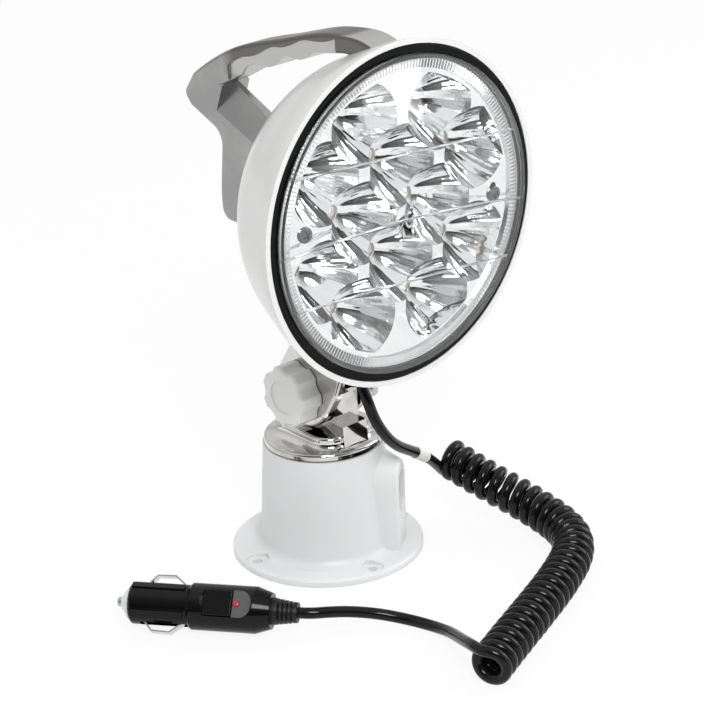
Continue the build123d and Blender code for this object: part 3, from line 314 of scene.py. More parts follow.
class Texture(Enum):
    """How the mould or the casting left a surface: its grain's size and depth, in metres."""

    POLISHED = (0.006, 0.000004)
    MOULDED = (0.0011, 0.000006)
    SPARKED = (0.0006, 0.000022)
    CAST = (0.0045, 0.00006)


@dataclass(frozen=True)
class Moulded:
    """A moulded plastic or rubber, with a soft shift in colour and a mould's texture."""

    name: str
    colour: Colour
    roughness: float = 0.3
    texture: Texture = Texture.MOULDED
    mottling: float = 0.03
    glow: float = 0.0
    lacquer: float = 0.0
    shine: float = 0.5
    cloud_size: float = 0.03
    patch_size: float = 0.012
    patch_dulling: float = 0.12
    glow_spread: Colour = (1.0, 0.95, 0.9)
    glow_reach: float = 0.006
    lacquer_roughness: float = 0.06

    def paint(self) -> bpy.types.Material:
        """The material."""
        paint = Paint(self.name)
        size, depth = self.texture.value
        clouds = paint.noise(self.cloud_size, detail=3.0)
        patches = paint.noise(self.patch_size, detail=4.0) - 0.5
        dark = tuple(level * (1.0 - 2.0 * self.mottling) for level in self.colour)
        paint.set(
            Base_Color=paint.blend(clouds, dark, self.colour),
            Roughness=self.roughness + self.patch_dulling * patches,
            Normal=paint.bump(paint.noise(size), depth),
            Subsurface_Weight=self.glow,
            Subsurface_Radius=self.glow_spread,
            Subsurface_Scale=self.glow_reach,
            Coat_Weight=self.lacquer,
            Coat_Roughness=self.lacquer_roughness,
            Specular_IOR_Level=self.shine,
        )
        return paint.material


@dataclass(frozen=True)
class Metal:
    """A metal with a slow waviness, fine grain and smudges."""

    name: str
    colour: Colour
    roughness: float = 0.08
    waviness: float = 0.0
    texture: Texture = Texture.POLISHED
    smudges: float = 0.08
    # Colour of the smudges; on chrome it is a brownish painted reflection.
    smudge_and_reflection_tint: Colour | None = None
    shade_share: float = 0.88
    smudge_size: float = 0.018
    smudge_span: tuple[float, float] = (0.45, 0.7)
    wave_size: float = 0.022

    def paint(self) -> bpy.types.Material:
        """The material."""
        paint = Paint(self.name)
        size, depth = self.texture.value
        dull = paint.noise(self.smudge_size, detail=5.0).step(*self.smudge_span)
        waves = paint.bump(paint.noise(self.wave_size, detail=1.0), self.waviness)
        # The smudges blend in this tint; on chrome it paints brownish reflections.
        smudge_and_reflection_tint = self.smudge_and_reflection_tint or tuple(self.shade_share * level for level in self.colour)
        paint.set(
            Base_Color=paint.blend(dull, self.colour, smudge_and_reflection_tint),
            Metallic=1.0,
            Roughness=self.roughness + self.smudges * dull,
            Normal=paint.bump(paint.noise(size), depth, waves),
        )
        return paint.material


@dataclass(frozen=True)
class ClearMoulding:
    """The clear cover of the lamp: three faint ridges across its dome, and a dull skirt.

    Each ridge is a height over the lamp's middle, a slope and a curl, all along X.
    """

    name: str = "clear cover"
    tint: Colour = (0.985, 0.99, 0.99)
    refraction: float = 1.46
    ridges: tuple[tuple[float, float, float], ...] = (
        (0.0321, -0.0675, -0.25),
        (-0.0007, -0.0601, -0.95),
        (-0.0321, -0.0690, -0.45),
    )
    ridge_width: float = 0.0005
    ridge_depth: float = 0.00035
    ridge_tint: Colour = (0.9, 0.9, 0.9)
    ridge_dulling: float = 0.35
    skirt_radius: float = 0.0760
    skirt_ease: float = 0.0005
    skirt_tint: Colour = (0.62, 0.63, 0.63)
    skirt_dulling: float = 0.3

    def paint(self) -> bpy.types.Material:
        """The material, which lets the lamps' light through to the reflector."""
        paint = Paint(self.name)
        x, _, z = paint.axes()
        rise = z - LAMP_HEIGHT
        ridge = None
        for height, slope, curl in self.ridges:
            line = (rise - height - slope * x - curl * x * x).size()
            mark = 1.0 - line.step(0.0, self.ridge_width)
            ridge = mark if ridge is None else ridge.either(mark)
        radius = (x * x + rise * rise) ** 0.5
        skirt = radius.step(self.skirt_radius, self.skirt_radius + self.skirt_ease)
        dome_tint = paint.blend(ridge, self.tint, self.ridge_tint)
        paint.set(
            Base_Color=paint.blend(skirt, dome_tint, self.skirt_tint),
            Transmission_Weight=1.0,
            IOR=self.refraction,
            Roughness=self.skirt_dulling * skirt + self.ridge_dulling * ridge,
            Normal=paint.bump(ridge, self.ridge_depth),
        )
        clear = paint.node("ShaderNodeBsdfTransparent", inputs={"Color": self.tint})
        rays = paint.node("ShaderNodeLightPath", output="Is Shadow Ray")
        mix = paint.node(
            "ShaderNodeMixShader",
            inputs={0: rays, 1: Wire(paint.tree, paint.shader.outputs[0]), 2: clear},
        )
        paint.tree.links.new(mix.socket, paint.output.inputs["Surface"])
        return paint.material


@dataclass(frozen=True)
class CupReflector:
    """Bright plating with fine flutes down each cup, which break the reflections into streaks."""

    name: str = "bright reflector"
    colour: Colour = (0.88, 0.885, 0.89)
    pitch: float = 0.0339
    turn: float = 41.5
    flutes: int = 20
    flute_depth: float = 0.00009
    flute_span: tuple[float, float] = (0.10, 0.45)
    roughness: float = 0.03
    haze: float = 0.05
    haze_size: float = 0.004
    haze_depth: float = 0.00003

    def paint(self) -> bpy.types.Material:
        """The material."""
        paint = Paint(self.name)
        x, _, z = paint.axes()
        rise = z - LAMP_HEIGHT
        lean = radians(self.turn)
        across = x * cos(lean) + rise * sin(lean)
        along = rise * cos(lean) - x * sin(lean)
        side, up = ((share / self.pitch).fraction() - 0.5 for share in (across, along))
        far = (side * side + up * up) ** 0.5
        flute = 0.5 + 0.5 * (up.angle_over(side) * self.flutes).cosine()
        haze = paint.noise(self.haze_size, detail=3.0)
        grain = paint.bump(haze, self.haze_depth)
        paint.set(
            Base_Color=self.colour,
            Metallic=1.0,
            Roughness=self.roughness + self.haze * haze,
            Normal=paint.bump(flute * far.step(*self.flute_span), self.flute_depth, grain),
        )
        return paint.material


@dataclass(frozen=True)
class Phosphor:
    """A light-emitting chip: yellow phosphor on the raised front of a pale package."""

    name: str = "phosphor"
    pale: Colour = (0.80, 0.79, 0.74)
    yellow: Colour = (0.66, 0.60, 0.36)
    front: tuple[float, float] = (-0.0422, -0.0417)
    roughness: float = 0.35
    gloss: float = 0.25
    grain_size: float = 0.0008
    grain_depth: float = 0.00002

    def paint(self) -> bpy.types.Material:
        """The material."""
        paint = Paint(self.name)
        _, y, _ = paint.axes()
        raised = 1.0 - y.step(*self.front)
        paint.set(
            Base_Color=paint.blend(raised, self.pale, self.yellow),
            Roughness=self.roughness - self.gloss * raised,
            Normal=paint.bump(paint.noise(self.grain_size), self.grain_depth),
        )
        return paint.material


@dataclass(frozen=True)
class HandleCasting:
    """The handle's satin plating, lightly brushed: pale worn patches on the legs, painted shading
    that darkens the grip's top, and painted light in its recess.

    The recess lies between the handle's side walls and under a curved top line, given as a
    height, a slope and a curl along Y. The legs start past a place in Y and below one in Z.
    """

    name: str = "satin plating"
    colour: Colour = (0.33, 0.33, 0.33)
    worn: Colour = (0.43, 0.425, 0.42)
    worn_span: tuple[float, float] = (0.35, 0.75)
    # Painted shading darkens the grip's top, and painted light brightens its recessed band.
    grip_top_painted_shading: Colour = (0.16, 0.155, 0.15)
    recess_painted_light: Colour = (0.52, 0.52, 0.515)
    band_wall: float = 0.0080
    band_wall_ease: float = 0.0006
    band_top: tuple[float, float, float] = (0.2706, -0.3537, -1.4)
    band_top_span: tuple[float, float] = (0.0008, 0.0018)
    band_middle: float = 0.008
    leg_start: tuple[float, float] = (0.044, 0.2480)
    leg_ease: tuple[float, float] = (0.012, 0.003)
    roughness: float = 0.24
    patch_size: float = 0.03
    patch_dulling: float = 0.10
    brush_size: float = 0.0012
    brush_stretch: Place = (1.0, 0.10, 0.10)
    brush_dulling: float = 0.05
    brush_depth: float = 0.00001
    wave_size: float = 0.02
    wave_depth: float = 0.00015

    def paint(self) -> bpy.types.Material:
        """The material."""
        paint = Paint(self.name)
        x, y, z = paint.axes()
        brushing = paint.noise(self.brush_size, 3.0, self.brush_stretch)
        patches = paint.noise(self.patch_size, detail=3.0)
        height, slope, curl = self.band_top
        far = y - self.band_middle
        above = z - height - slope * far - curl * far * far
        recess = 1.0 - x.size().step(self.band_wall, self.band_wall + self.band_wall_ease)
        band = recess * (1.0 - above.step(*self.band_top_span))
        leg_y, leg_z = self.leg_start
        ease_y, ease_z = self.leg_ease
        leg = y.step(leg_y, leg_y + ease_y).either(1.0 - z.step(leg_z, leg_z + ease_z))
        plain = paint.blend(patches.step(*self.worn_span), self.colour, self.worn)
        # Painted shading on the grip's top, and painted light in its recess.
        grip = paint.blend(band, self.grip_top_painted_shading, self.recess_painted_light)
        waves = paint.bump(paint.noise(self.wave_size, detail=1.0), self.wave_depth)
        dulling = self.patch_dulling * patches + self.brush_dulling * brushing
        paint.set(
            Base_Color=paint.blend(leg, grip, plain),
            Metallic=1.0,
            Roughness=self.roughness + dulling,
            Normal=paint.bump(brushing, self.brush_depth, waves),
        )
        return paint.material


# Name, colour, roughness, texture, mottling, glow and lacquer of each plastic and rubber.
WHITE_SHELL = Moulded("white gloss", (0.70, 0.70, 0.695), 0.22, Texture.POLISHED, 0.012, 0.05, 0.3)
WHITE_BASE = Moulded("white milky plastic", (0.75, 0.755, 0.76), 0.36, Texture.SPARKED, 0.015, 0.35)
WHITE_KNOB = Moulded("white knob plastic", (0.78, 0.78, 0.775), 0.34, mottling=0.015, glow=0.2)
BLACK_GLOSS = Moulded(
    "black gloss", (0.004, 0.004, 0.0045), 0.08, Texture.POLISHED, 0.1, shine=0.10
)
BLACK_PLUG = Moulded("black plug plastic", (0.005, 0.005, 0.0055), 0.16, mottling=0.1, shine=0.20)
BLACK_CORD = Moulded("black cord sheath", (0.006, 0.006, 0.0065), 0.17, mottling=0.1, shine=0.24)
BLACK_RUBBER = Moulded(
    "black rubber", (0.010, 0.010, 0.011), 0.42, Texture.SPARKED, 0.15, shine=0.3
)
CLEAR_RUBBER = Moulded("pale seal", (0.45, 0.45, 0.44), 0.4, Texture.MOULDED, 0.05, 0.2)
NOSE_PLASTIC = Moulded(
    "clear white nose", (0.72, 0.74, 0.74), 0.12, Texture.POLISHED, 0.03, 0.4, 0.5
)
GREY_PANEL = Moulded("grey panel", (0.085, 0.085, 0.088), 0.42, Texture.SPARKED, 0.06)
RED_LENS = Moulded("red indicator", (0.62, 0.01, 0.015), 0.12, Texture.POLISHED, 0.05, 0.3, 0.6)
WHITE_BOARD = Moulded("board lacquer", (0.72, 0.72, 0.69), 0.3, Texture.MOULDED, 0.03, 0.0, 0.3)
CERAMIC = Moulded("fuse ceramic", (0.62, 0.60, 0.55), 0.5, Texture.SPARKED, 0.05)
WHITE_TAPE = Moulded("white band", (0.78, 0.78, 0.77), 0.4, Texture.MOULDED, 0.04, 0.1)

# Name, colour, roughness, waviness, texture, smudges and smudge tint of each metal; chrome's
# brownish tint is a painted reflection.
CHROME = Metal(
    "chrome", (0.66, 0.655, 0.65), 0.05, 0.00030, Texture.POLISHED, 0.07, (0.50, 0.48, 0.46)
)
CLIP_CHROME = Metal("clip chrome", (0.70, 0.70, 0.70), 0.07, 0.00006, Texture.POLISHED, 0.08)
STEEL = Metal("zinc steel", (0.52, 0.52, 0.53), 0.26, 0.00005, Texture.MOULDED, 0.12)
DARK_SCREW = Metal("blackened screw", (0.16, 0.16, 0.165), 0.24, 0.00003, Texture.MOULDED, 0.12)
BRASS = Metal("brass", (0.66, 0.50, 0.22), 0.22, 0.00005, Texture.MOULDED, 0.12)
ALUMINIUM = Metal("cast aluminium", (0.58, 0.58, 0.59), 0.38, 0.00010, Texture.CAST, 0.10)
TRIM_SILVER = Metal("bright trim", (0.72, 0.72, 0.725), 0.20, 0.00002, Texture.POLISHED, 0.06)


# Pieces


def dress(material: bpy.types.Material, *nodes: str) -> None:
    """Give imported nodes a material.

    Args:
        material: the material.
        nodes: the nodes' names.
    """
    for node in nodes:
        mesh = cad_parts[node].data
        mesh.materials.clear()
        mesh.materials.append(material)
        LOG.info("%s is finished in %s", node, material.name)


def new_piece(
    name: str, mesh: bpy.types.Mesh, material: bpy.types.Material, smooth: bool = True
) -> bpy.types.Object:
    """Put a finished mesh into the scene.

    Args:
        name: the piece's name.
        mesh: its mesh, in place.
        material: its material.
        smooth: whether its faces are shaded smooth.

    Returns:
        The piece.
    """
    mesh.materials.clear()
    mesh.materials.append(material)
    for face in mesh.polygons:
        face.use_smooth = smooth
        face.material_index = 0
    piece = bpy.data.objects.new(name, mesh)
    bpy.context.scene.collection.objects.link(piece)
    LOG.info("%s has %d faces", name, len(mesh.polygons))
    return piece


def turned_mesh(name: str, outline: list[tuple[float, float]], steps: int) -> bpy.types.Mesh:
    """A closed turned form about Z.

    Args:
        name: the mesh's name.
        outline: radius and height along the outline, from the axis back to the axis.
        steps: how many faces go round.

    Returns:
        The mesh.
    """
    shape = bmesh.new()
    points = [shape.verts.new((radius, 0.0, height)) for radius, height in outline]
    edges = [shape.edges.new(pair) for pair in zip(points, points[1:])]
    bmesh.ops.spin(
        shape,
        geom=points + edges,
        cent=(0, 0, 0),
        axis=(0, 0, 1),
        angle=2 * pi,
        steps=steps,
        use_merge=True,
    )
    bmesh.ops.remove_doubles(shape, verts=shape.verts, dist=1e-7)
    bmesh.ops.recalc_face_normals(shape, faces=shape.faces)
    mesh = bpy.data.meshes.new(name)
    shape.to_mesh(mesh)
    shape.free()
    return mesh


def curve_mesh(curve: bpy.types.Curve) -> bpy.types.Mesh:
    """The plain mesh of a curve, as it is at this moment."""
    holder = bpy.data.objects.new(curve.name, curve)
    mesh = bpy.data.meshes.new_from_object(holder)
    bpy.data.objects.remove(holder)
    return mesh


def tube_mesh(curve: bpy.types.Curve, radius: float, facets: int) -> bpy.types.Mesh:
    """A closed tube round a curve.

    Args:
        curve: the curve.
        radius: the tube's radius.
        facets: how finely it is rounded.

    Returns:
        The tube's mesh.
    """
    curve.bevel_depth = radius
    curve.bevel_resolution = facets
    curve.use_fill_caps = True
    return curve_mesh(curve)


class PatternTree:
    """A Geometry Nodes tree with named sizes that ends in realised instances and one material."""

    def __init__(self, name: str) -> None:
        """Start an empty tree.

        Args:
            name: the tree's name.
        """
        self.tree = bpy.data.node_groups.new(name, "GeometryNodeTree")
        self.sizes: dict[str, Number] = {}
        self.entry = self.tree.nodes.new("NodeGroupInput")
        self.exit = self.tree.nodes.new("NodeGroupOutput")
        self.tree.interface.new_socket(
            "Geometry", in_out="OUTPUT", socket_type="NodeSocketGeometry"
        )

    def size(self, name: str, value: Number) -> Wire:
        """A named input.

        Args:
            name: the input's name.
            value: the value it has on this object.

        Returns:
            The input's wire.
        """
        kind = "NodeSocketInt" if isinstance(value, int) else "NodeSocketFloat"
        self.tree.interface.new_socket(name, in_out="INPUT", socket_type=kind)
        self.sizes[name] = value
        return Wire(self.tree, self.entry.outputs[name])

    def node(
        self,
        kind: str,
        settings: dict | None = None,
        inputs: dict | None = None,
        output: int | str = 0,
    ) -> Wire:
        """Add a node of any type, as add_node does."""
        return add_node(self.tree, kind, settings, inputs, output)

    def vector(self, x: Wire | Number, y: Wire | Number, z: Wire | Number) -> Wire:
        """A vector from three values."""
        return self.node("ShaderNodeCombineXYZ", inputs={0: x, 1: y, 2: z})

    def finished(self, instances: Wire, material: bpy.types.Material) -> bpy.types.Mesh:
        """Realise the instances, set their material and evaluate the tree.

        Args:
            instances: the instances' wire.
            material: their material.

        Returns:
            The plain mesh.
        """
        solid = self.node("GeometryNodeRealizeInstances", inputs={0: instances})
        dressed = self.node(
            "GeometryNodeSetMaterial", inputs={"Geometry": solid, "Material": material}
        )
        self.tree.links.new(dressed.socket, self.exit.inputs[0])
        carrier = bpy.data.objects.new("carrier", bpy.data.meshes.new("carrier"))
        bpy.context.scene.collection.objects.link(carrier)
        modifier = carrier.modifiers.new("pattern", "NODES")
        modifier.node_group = self.tree
        for item in self.tree.interface.items_tree:
            if item.in_out == "INPUT":
                modifier[item.identifier] = self.sizes[item.name]
        evaluated = carrier.evaluated_get(bpy.context.evaluated_depsgraph_get())
        mesh = bpy.data.meshes.new_from_object(evaluated)
        carrier.modifiers.remove(modifier)
        bpy.data.objects.remove(carrier)
        return mesh


# Sub-assemblies


@dataclass(frozen=True)
class Pedestal:
    """The fixed base and the swivel below the turret."""

    def dress(self) -> None:
        """Finish the base, its gasket and the swivel's hardware."""
        dress(WHITE_BASE.paint(), "base_pedestal")
        dress(BLACK_RUBBER.paint(), "swivel_gasket")
        dress(STEEL.paint(), "swivel_washer", "swivel_bolt")


@dataclass(frozen=True)
class TiltMount:
    """The plated stem and yoke with their stud, washers and knobs."""

    def dress(self) -> None:
        """Finish the stem, the yoke and the clamp."""
        dress(CHROME.paint(), "turret_stem", "neck_yoke")
        dress(BLACK_RUBBER.paint(), "friction_washers", "cable_gland")
        dress(STEEL.paint(), "tilt_stud", "neck_screws")
        dress(BRASS.paint(), "knob_nut_left", "knob_nut_right")
        dress(WHITE_KNOB.paint(), "knob_left", "knob_right")


@dataclass(frozen=True)
class LampHead:
    """The lamp: shell, rim, clear cover, ribbed trim ring, reflector and light source.

    The screw's slots are given as shares of its head's radius and height.
    """

    trim_front: float = -0.0677
    rib_count: int = 240
    rib_inner: float = 0.0714
    rib_outer: float = 0.0758
    rib_width: float = 0.0009
    rib_height: float = 0.0005
    rib_corner: float = 0.577
    screw_side: float = 0.060609
    screw_front: float = -0.0662
    screw_rise: float = 0.005697
    screw_turn: float = 0.35
    screw_head_radius: float = 0.0039
    screw_head_height: float = 0.0018
    screw_head_edge: float = 0.45
    screw_shank_radius: float = 0.0019
    screw_length: float = 0.0305
    screw_sides: int = 40
    slot_length: float = 1.15
    slot_width: float = 0.30
    slot_height: float = 1.1

    def dress(self) -> None:
        """Finish the nodes that keep their shape."""
        dress(WHITE_SHELL.paint(), "rear_shell")
        dress(BLACK_GLOSS.paint(), "lens_rim")
        dress(ClearMoulding().paint(), "lens")
        dress(CLEAR_RUBBER.paint(), "lens_seal")
        dress(CupReflector().paint(), "reflector_tray")
        dress(WHITE_BOARD.paint(), "led_board")
        dress(Phosphor().paint(), "led_emitters")
        dress(ALUMINIUM.paint(), "heat_sink")
        dress(BLACK_PLUG.paint(), "driver_box")

    def build_trim(self) -> bpy.types.Object:
        """Finish the trim ring and lay its fine radial ribs.

        Returns:
            The ribs.
        """
        silver = TRIM_SILVER.paint()
        dress(silver, "trim_ring")
        tree = PatternTree("ribs round a ring")
        count = tree.size("Count", self.rib_count)
        middle = tree.size("Middle radius", (self.rib_inner + self.rib_outer) / 2)
        length = tree.size("Rib length", self.rib_outer - self.rib_inner)
        width = tree.size("Rib width", self.rib_width)
        height = tree.size("Rib height", self.rib_height)
        turn = tree.node("GeometryNodeInputIndex") * (2 * pi) / count
        spot = tree.vector(
            middle * turn.cosine(), self.trim_front, middle * turn.sine() + LAMP_HEIGHT
        )
        points = tree.node("GeometryNodePoints", inputs={"Count": count, "Position": spot})
        corner = width * self.rib_corner
        prism = tree.node(
            "GeometryNodeMeshCone",
            {"fill_type": "NGON"},
            {
                "Vertices": 3,
                "Side Segments": 1,
                "Radius Top": corner,
                "Radius Bottom": corner,
                "Depth": length,
            },
        )
        laid = tree.node(
            "GeometryNodeTransform",
            inputs={
                "Geometry": prism,
                "Translation": tree.vector(length * -0.5, 0.0, 0.0),
                "Rotation": (0.0, pi / 2, 0.0),
            },
        )
        flat = tree.vector(1.0, height / corner, 1.0)
        low = tree.node("GeometryNodeTransform", inputs={"Geometry": laid, "Scale": flat})
        outward = tree.vector(0.0, turn * -1.0, 0.0)
        ribs = tree.node(
            "GeometryNodeInstanceOnPoints",
            inputs={"Points": points, "Instance": low, "Rotation": outward},
        )
        piece = new_piece("trim_ribs", tree.finished(ribs, silver), silver, smooth=False)
        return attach(piece, "head")

    def screw_form(self) -> bpy.types.Object:
        """One cross-head screw at the origin, up Z.

        Returns:
            The screw, to be removed after use.
        """
        radius, height = self.screw_head_radius, self.screw_head_height
        shank, edge = self.screw_shank_radius, self.screw_head_edge
        outline = [(0.0, height)]
        for degrees in range(15, 91, 15):
            crown = edge + (1.0 - edge) * cos(radians(degrees))
            outline.append((radius * sin(radians(degrees)), height * crown))
        outline += [(radius, 0.0), (shank, 0.0)]
        outline += [(shank, -self.screw_length), (0.0, -self.screw_length)]
        screw = bpy.data.objects.new(
            "screw form", turned_mesh("screw form", outline, self.screw_sides)
        )
        bar_size = (radius * self.slot_length, radius * self.slot_width, height * self.slot_height)
        bars = bmesh.new()
        for turn in (0.0, pi / 2):
            place = Matrix.Rotation(turn, 4, "Z") @ Matrix.Translation((0, 0, height))
            bar = place @ Matrix.Diagonal((*bar_size, 1.0))
            bmesh.ops.create_cube(bars, size=1.0, matrix=bar)
        cross = bpy.data.meshes.new("cross")
        bars.to_mesh(cross)
        bars.free()
        cutter = bpy.data.objects.new("cross", cross)
        for thing in (screw, cutter):
            bpy.context.scene.collection.objects.link(thing)
        cut = screw.modifiers.new("cross", "BOOLEAN")
        cut.operation = "DIFFERENCE"
        cut.solver = "EXACT"
        cut.use_self = True
        cut.object = cutter
        evaluated = screw.evaluated_get(bpy.context.evaluated_depsgraph_get())
        form = bpy.data.meshes.new_from_object(evaluated)
        screw.modifiers.clear()
        screw.data = form
        bpy.data.objects.remove(cutter)
        return screw

    def build_screws(self) -> bpy.types.Object:
        """Set the two cross-head screws that hold the reflector.

        Returns:
            The screws.
        """
        screw = self.screw_form()
        dark = DARK_SCREW.paint()
        tree = PatternTree("screws at their holes")
        side = tree.size("Side", self.screw_side)
        depth = tree.size("Depth", self.screw_front)
        rise = tree.size("Rise", self.screw_rise)
        sign = tree.node("GeometryNodeInputIndex") * -2.0 + 1.0
        spot = tree.vector(side * sign, depth, LAMP_HEIGHT - rise * sign)
        points = tree.node("GeometryNodePoints", inputs={"Count": 2, "Position": spot})
        info = tree.node("GeometryNodeObjectInfo", inputs={"Object": screw}, output="Geometry")
        angles = tree.vector(pi / 2, sign * self.screw_turn, 0.0)
        screws = tree.node(
            "GeometryNodeInstanceOnPoints",
            inputs={"Points": points, "Instance": info, "Rotation": angles},
        )
        piece = new_piece("cross_head_screws", tree.finished(screws, dark), dark, smooth=False)
        bpy.data.objects.remove(screw)
        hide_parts("reflector_screws")
        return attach(piece, "head")


@dataclass(frozen=True)
class CarryHandle:
    """The plated handle and its screws."""

    def dress(self) -> None:
        """Finish the handle."""
        dress(HandleCasting().paint(), "handle")
        dress(STEEL.paint(), "handle_screws")


@dataclass(frozen=True)
class AccessoryPlug:
    """The plug at the cord's far end."""

    def dress(self) -> None:
        """Finish the plug's pieces."""
        dress(BLACK_PLUG.paint(), "plug_body", "plug_switch")
        dress(NOSE_PLASTIC.paint(), "plug_nose")
        dress(STEEL.paint(), "plug_contact", "contact_spring")
        dress(CERAMIC.paint(), "plug_fuse")
        dress(CLIP_CHROME.paint(), "ground_clips")
        dress(GREY_PANEL.paint(), "plug_panel")
        dress(RED_LENS.paint(), "plug_lamp")
        dress(BLACK_RUBBER.paint(), "plug_boot")


@dataclass(frozen=True)
class CurlyCord:
    """The cord from the gland to the plug, with its long curly stretch and its white band.

    The coil's first turns are stretched over a share of its route, and the rest lie together.
    """

    radius: float = 0.0029
    facets: int = 4
    spline_order: int = 3
    spline_steps: int = 4
    route_steps: int = 24
    turn_radius: float = 0.00822
    open_turns: int = 13
    tight_turns: int = 20
    open_share: float = 0.40
    steps_per_turn: int = 14
    first_arm: Place = (-0.45, -0.25, 0.86)
    band_radius: float = 0.00325
    band_facets: int = 8
    band_span: tuple[float, float] = (0.67, 0.77)
    length: float = 1.92
    exit: Place = (-0.0015, -0.0336, 0.1016)
    slack_height: float = 0.048
    lead: tuple[Place, ...] = (
        (-0.0015, -0.0336, 0.1016),
        (-0.0015, -0.0384, 0.09329),
        (0.0015, -0.0394, 0.0829),
        (0.009, -0.039, 0.0709),
        (0.019, -0.036, 0.0615),
        (0.034, -0.031, 0.0518),
        (0.0480, -0.0262, 0.0425),
        (0.0590, -0.0222, 0.0325),
        (0.0650, -0.0195, 0.0262),
    )
    coil: tuple[Place, ...] = (
        (0.0692, -0.0184, 0.033),
        (0.0725, -0.040, 0.027),
        (0.083, -0.066, 0.0166),
        (0.0835, -0.094, 0.0111),
        (0.069, -0.114, 0.0111),
        (0.040, -0.1305, 0.0111),
        (0.008, -0.145, 0.0111),
        (-0.022, -0.158, 0.0111),
        (-0.045, -0.1685, 0.0111),
    )
    tail: tuple[Place, ...] = (
        (-0.0466, -0.1645, 0.0191),
        (-0.0445, -0.1565, 0.0180),
        (-0.0372, -0.1410, 0.0125),
        (-0.0295, -0.1250, 0.0070),
        (-0.0275, -0.1105, 0.0038),
        (-0.0315, -0.0975, 0.004),
        (-0.041, -0.086, 0.0066),
        (-0.0532, -0.0786, 0.0098),
        (-0.0645, -0.074, 0.012),
        (-0.07182, -0.07027, 0.0126),
        (-0.07543, -0.06547, 0.0126),
    )
    plug_pieces: tuple[str, ...] = (
        "plug_body",
        "plug_nose",
        "plug_contact",
        "contact_spring",
        "plug_fuse",
        "ground_clips",
        "plug_panel",
        "plug_lamp",
        "plug_switch",
        "plug_boot",
    )

    def spline_curve(self, name: str, points: list[Vector], kind: str = "NURBS") -> bpy.types.Curve:
        """A curve of one open spline.

        Args:
            name: the curve's name.
            points: its control points.
            kind: NURBS for a smooth spline, POLY for straight steps.

        Returns:
            The curve.
        """
        curve = bpy.data.curves.new(name, "CURVE")
        curve.dimensions = "3D"
        spline = curve.splines.new(kind)
        spline.points.add(len(points) - 1)
        for target, point in zip(spline.points, points):
            target.co = (*point, 1.0)
        if kind == "NURBS":
            spline.order_u = self.spline_order
            spline.use_endpoint_u = True
            spline.resolution_u = self.spline_steps
        return curve

    def route_line(self, points: tuple[Place, ...]) -> list[Vector]:
        """Points read along the smooth line of a route.

        Args:
            points: the route's control points.

        Returns:
            The line's points.
        """
        curve = self.spline_curve("route", [Vector(point) for point in points])
        curve.splines[0].resolution_u = self.route_steps
        mesh = curve_mesh(curve)
        line = [vertex.co.copy() for vertex in mesh.vertices]
        bpy.data.curves.remove(curve)
        bpy.data.meshes.remove(mesh)
        return line

    def turns_along(self, share: float) -> float:
        """How many turns the coil has made at a share of its length."""
        if share < self.open_share:
            return self.open_turns * share / self.open_share
        tight_share = (share - self.open_share) / (1 - self.open_share)
        return self.open_turns + self.tight_turns * tight_share

    def helix(self) -> list[Vector]:
        """The control points of the curly stretch, wound round its route.

        Returns:
            The points, from the lead's side to the tail's.
        """
        line = self.route_line(self.coil)
        along = [0.0]
        for before, after in zip(line, line[1:]):
            along.append(along[-1] + (after - before).length)
        arms = []
        arm = Vector(self.first_arm)
        for index in range(len(line)):
            ahead = (line[min(index + 1, len(line) - 1)] - line[max(index - 1, 0)]).normalized()
            arm = (arm - ahead * arm.dot(ahead)).normalized()
            arms.append((arm.copy(), ahead.cross(arm)))
        shares = [place / along[-1] for place in along]
        total = self.open_turns + self.tight_turns
        first_angle = atan2(-arms[0][1].z, -arms[0][0].z)
        last_angle = atan2(arms[-1][1].z, arms[-1][0].z)
        points = []
        cursor = 0
        for step in range(total * self.steps_per_turn + 1):
            wanted = step / self.steps_per_turn
            while cursor < len(line) - 2 and self.turns_along(shares[cursor + 1]) < wanted:
                cursor += 1
            low, high = self.turns_along(shares[cursor]), self.turns_along(shares[cursor + 1])
            share = min(max((wanted - low) / max(high - low, 1e-9), 0.0), 1.0)
            middle = line[cursor].lerp(line[cursor + 1], share)
            first = arms[cursor][0].lerp(arms[cursor + 1][0], share).normalized()
            second = arms[cursor][1].lerp(arms[cursor + 1][1], share).normalized()
            angle = first_angle + (2 * pi * total + last_angle - first_angle) * wanted / total
            points.append(middle + (first * cos(angle) + second * sin(angle)) * self.turn_radius)
        return points

    def build_band(self) -> bpy.types.Object:
        """Wrap the blank white band round the lead.

        Returns:
            The band.
        """
        line = self.route_line(self.lead)
        low, high = (round(share * (len(line) - 1)) for share in self.band_span)
        curve = self.spline_curve("band", line[low : high + 1], "POLY")
        mesh = tube_mesh(curve, self.band_radius, self.band_facets)
        bpy.data.curves.remove(curve)
        band = new_piece("cord_band", mesh, WHITE_TAPE.paint())
        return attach(band, "turret")

    def build(self) -> bpy.types.Object:
        """Returns:
            The cord.
        """
        points = [Vector(point) for point in self.lead]
        points += self.helix()
        points += [Vector(point) for point in self.tail]
        curve = self.spline_curve("cord", points)
        line = [tuple(vertex.co) for vertex in curve_mesh(curve).vertices]
        mesh = tube_mesh(curve, self.radius, self.facets)
        cord = new_piece("power_cord", mesh, BLACK_CORD.paint())
        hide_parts("cord_lead", "cord_coil", "cord_tail")
        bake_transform(cord)
        self.build_band()
        return cord


# Studio


@dataclass(frozen=True)
class Lamp:
    """One soft rectangular lamp."""

    name: str
    place: Place
    aim: Place
    size: tuple[float, float]
    watts: float

    def hang(self) -> None:
        """Put the lamp into the scene."""
        light = bpy.data.lights.new(self.name, "AREA")
        light.shape = "RECTANGLE"
        light.size, light.size_y = self.size
        light.energy = self.watts
        lamp = bpy.data.objects.new(self.name, light)
        away = Vector(self.place) - Vector(self.aim)
        turn = away.to_track_quat("Z", "Y").to_matrix().to_4x4()
        lamp.matrix_world = Matrix.Translation(self.place) @ turn
        bpy.context.scene.collection.objects.link(lamp)


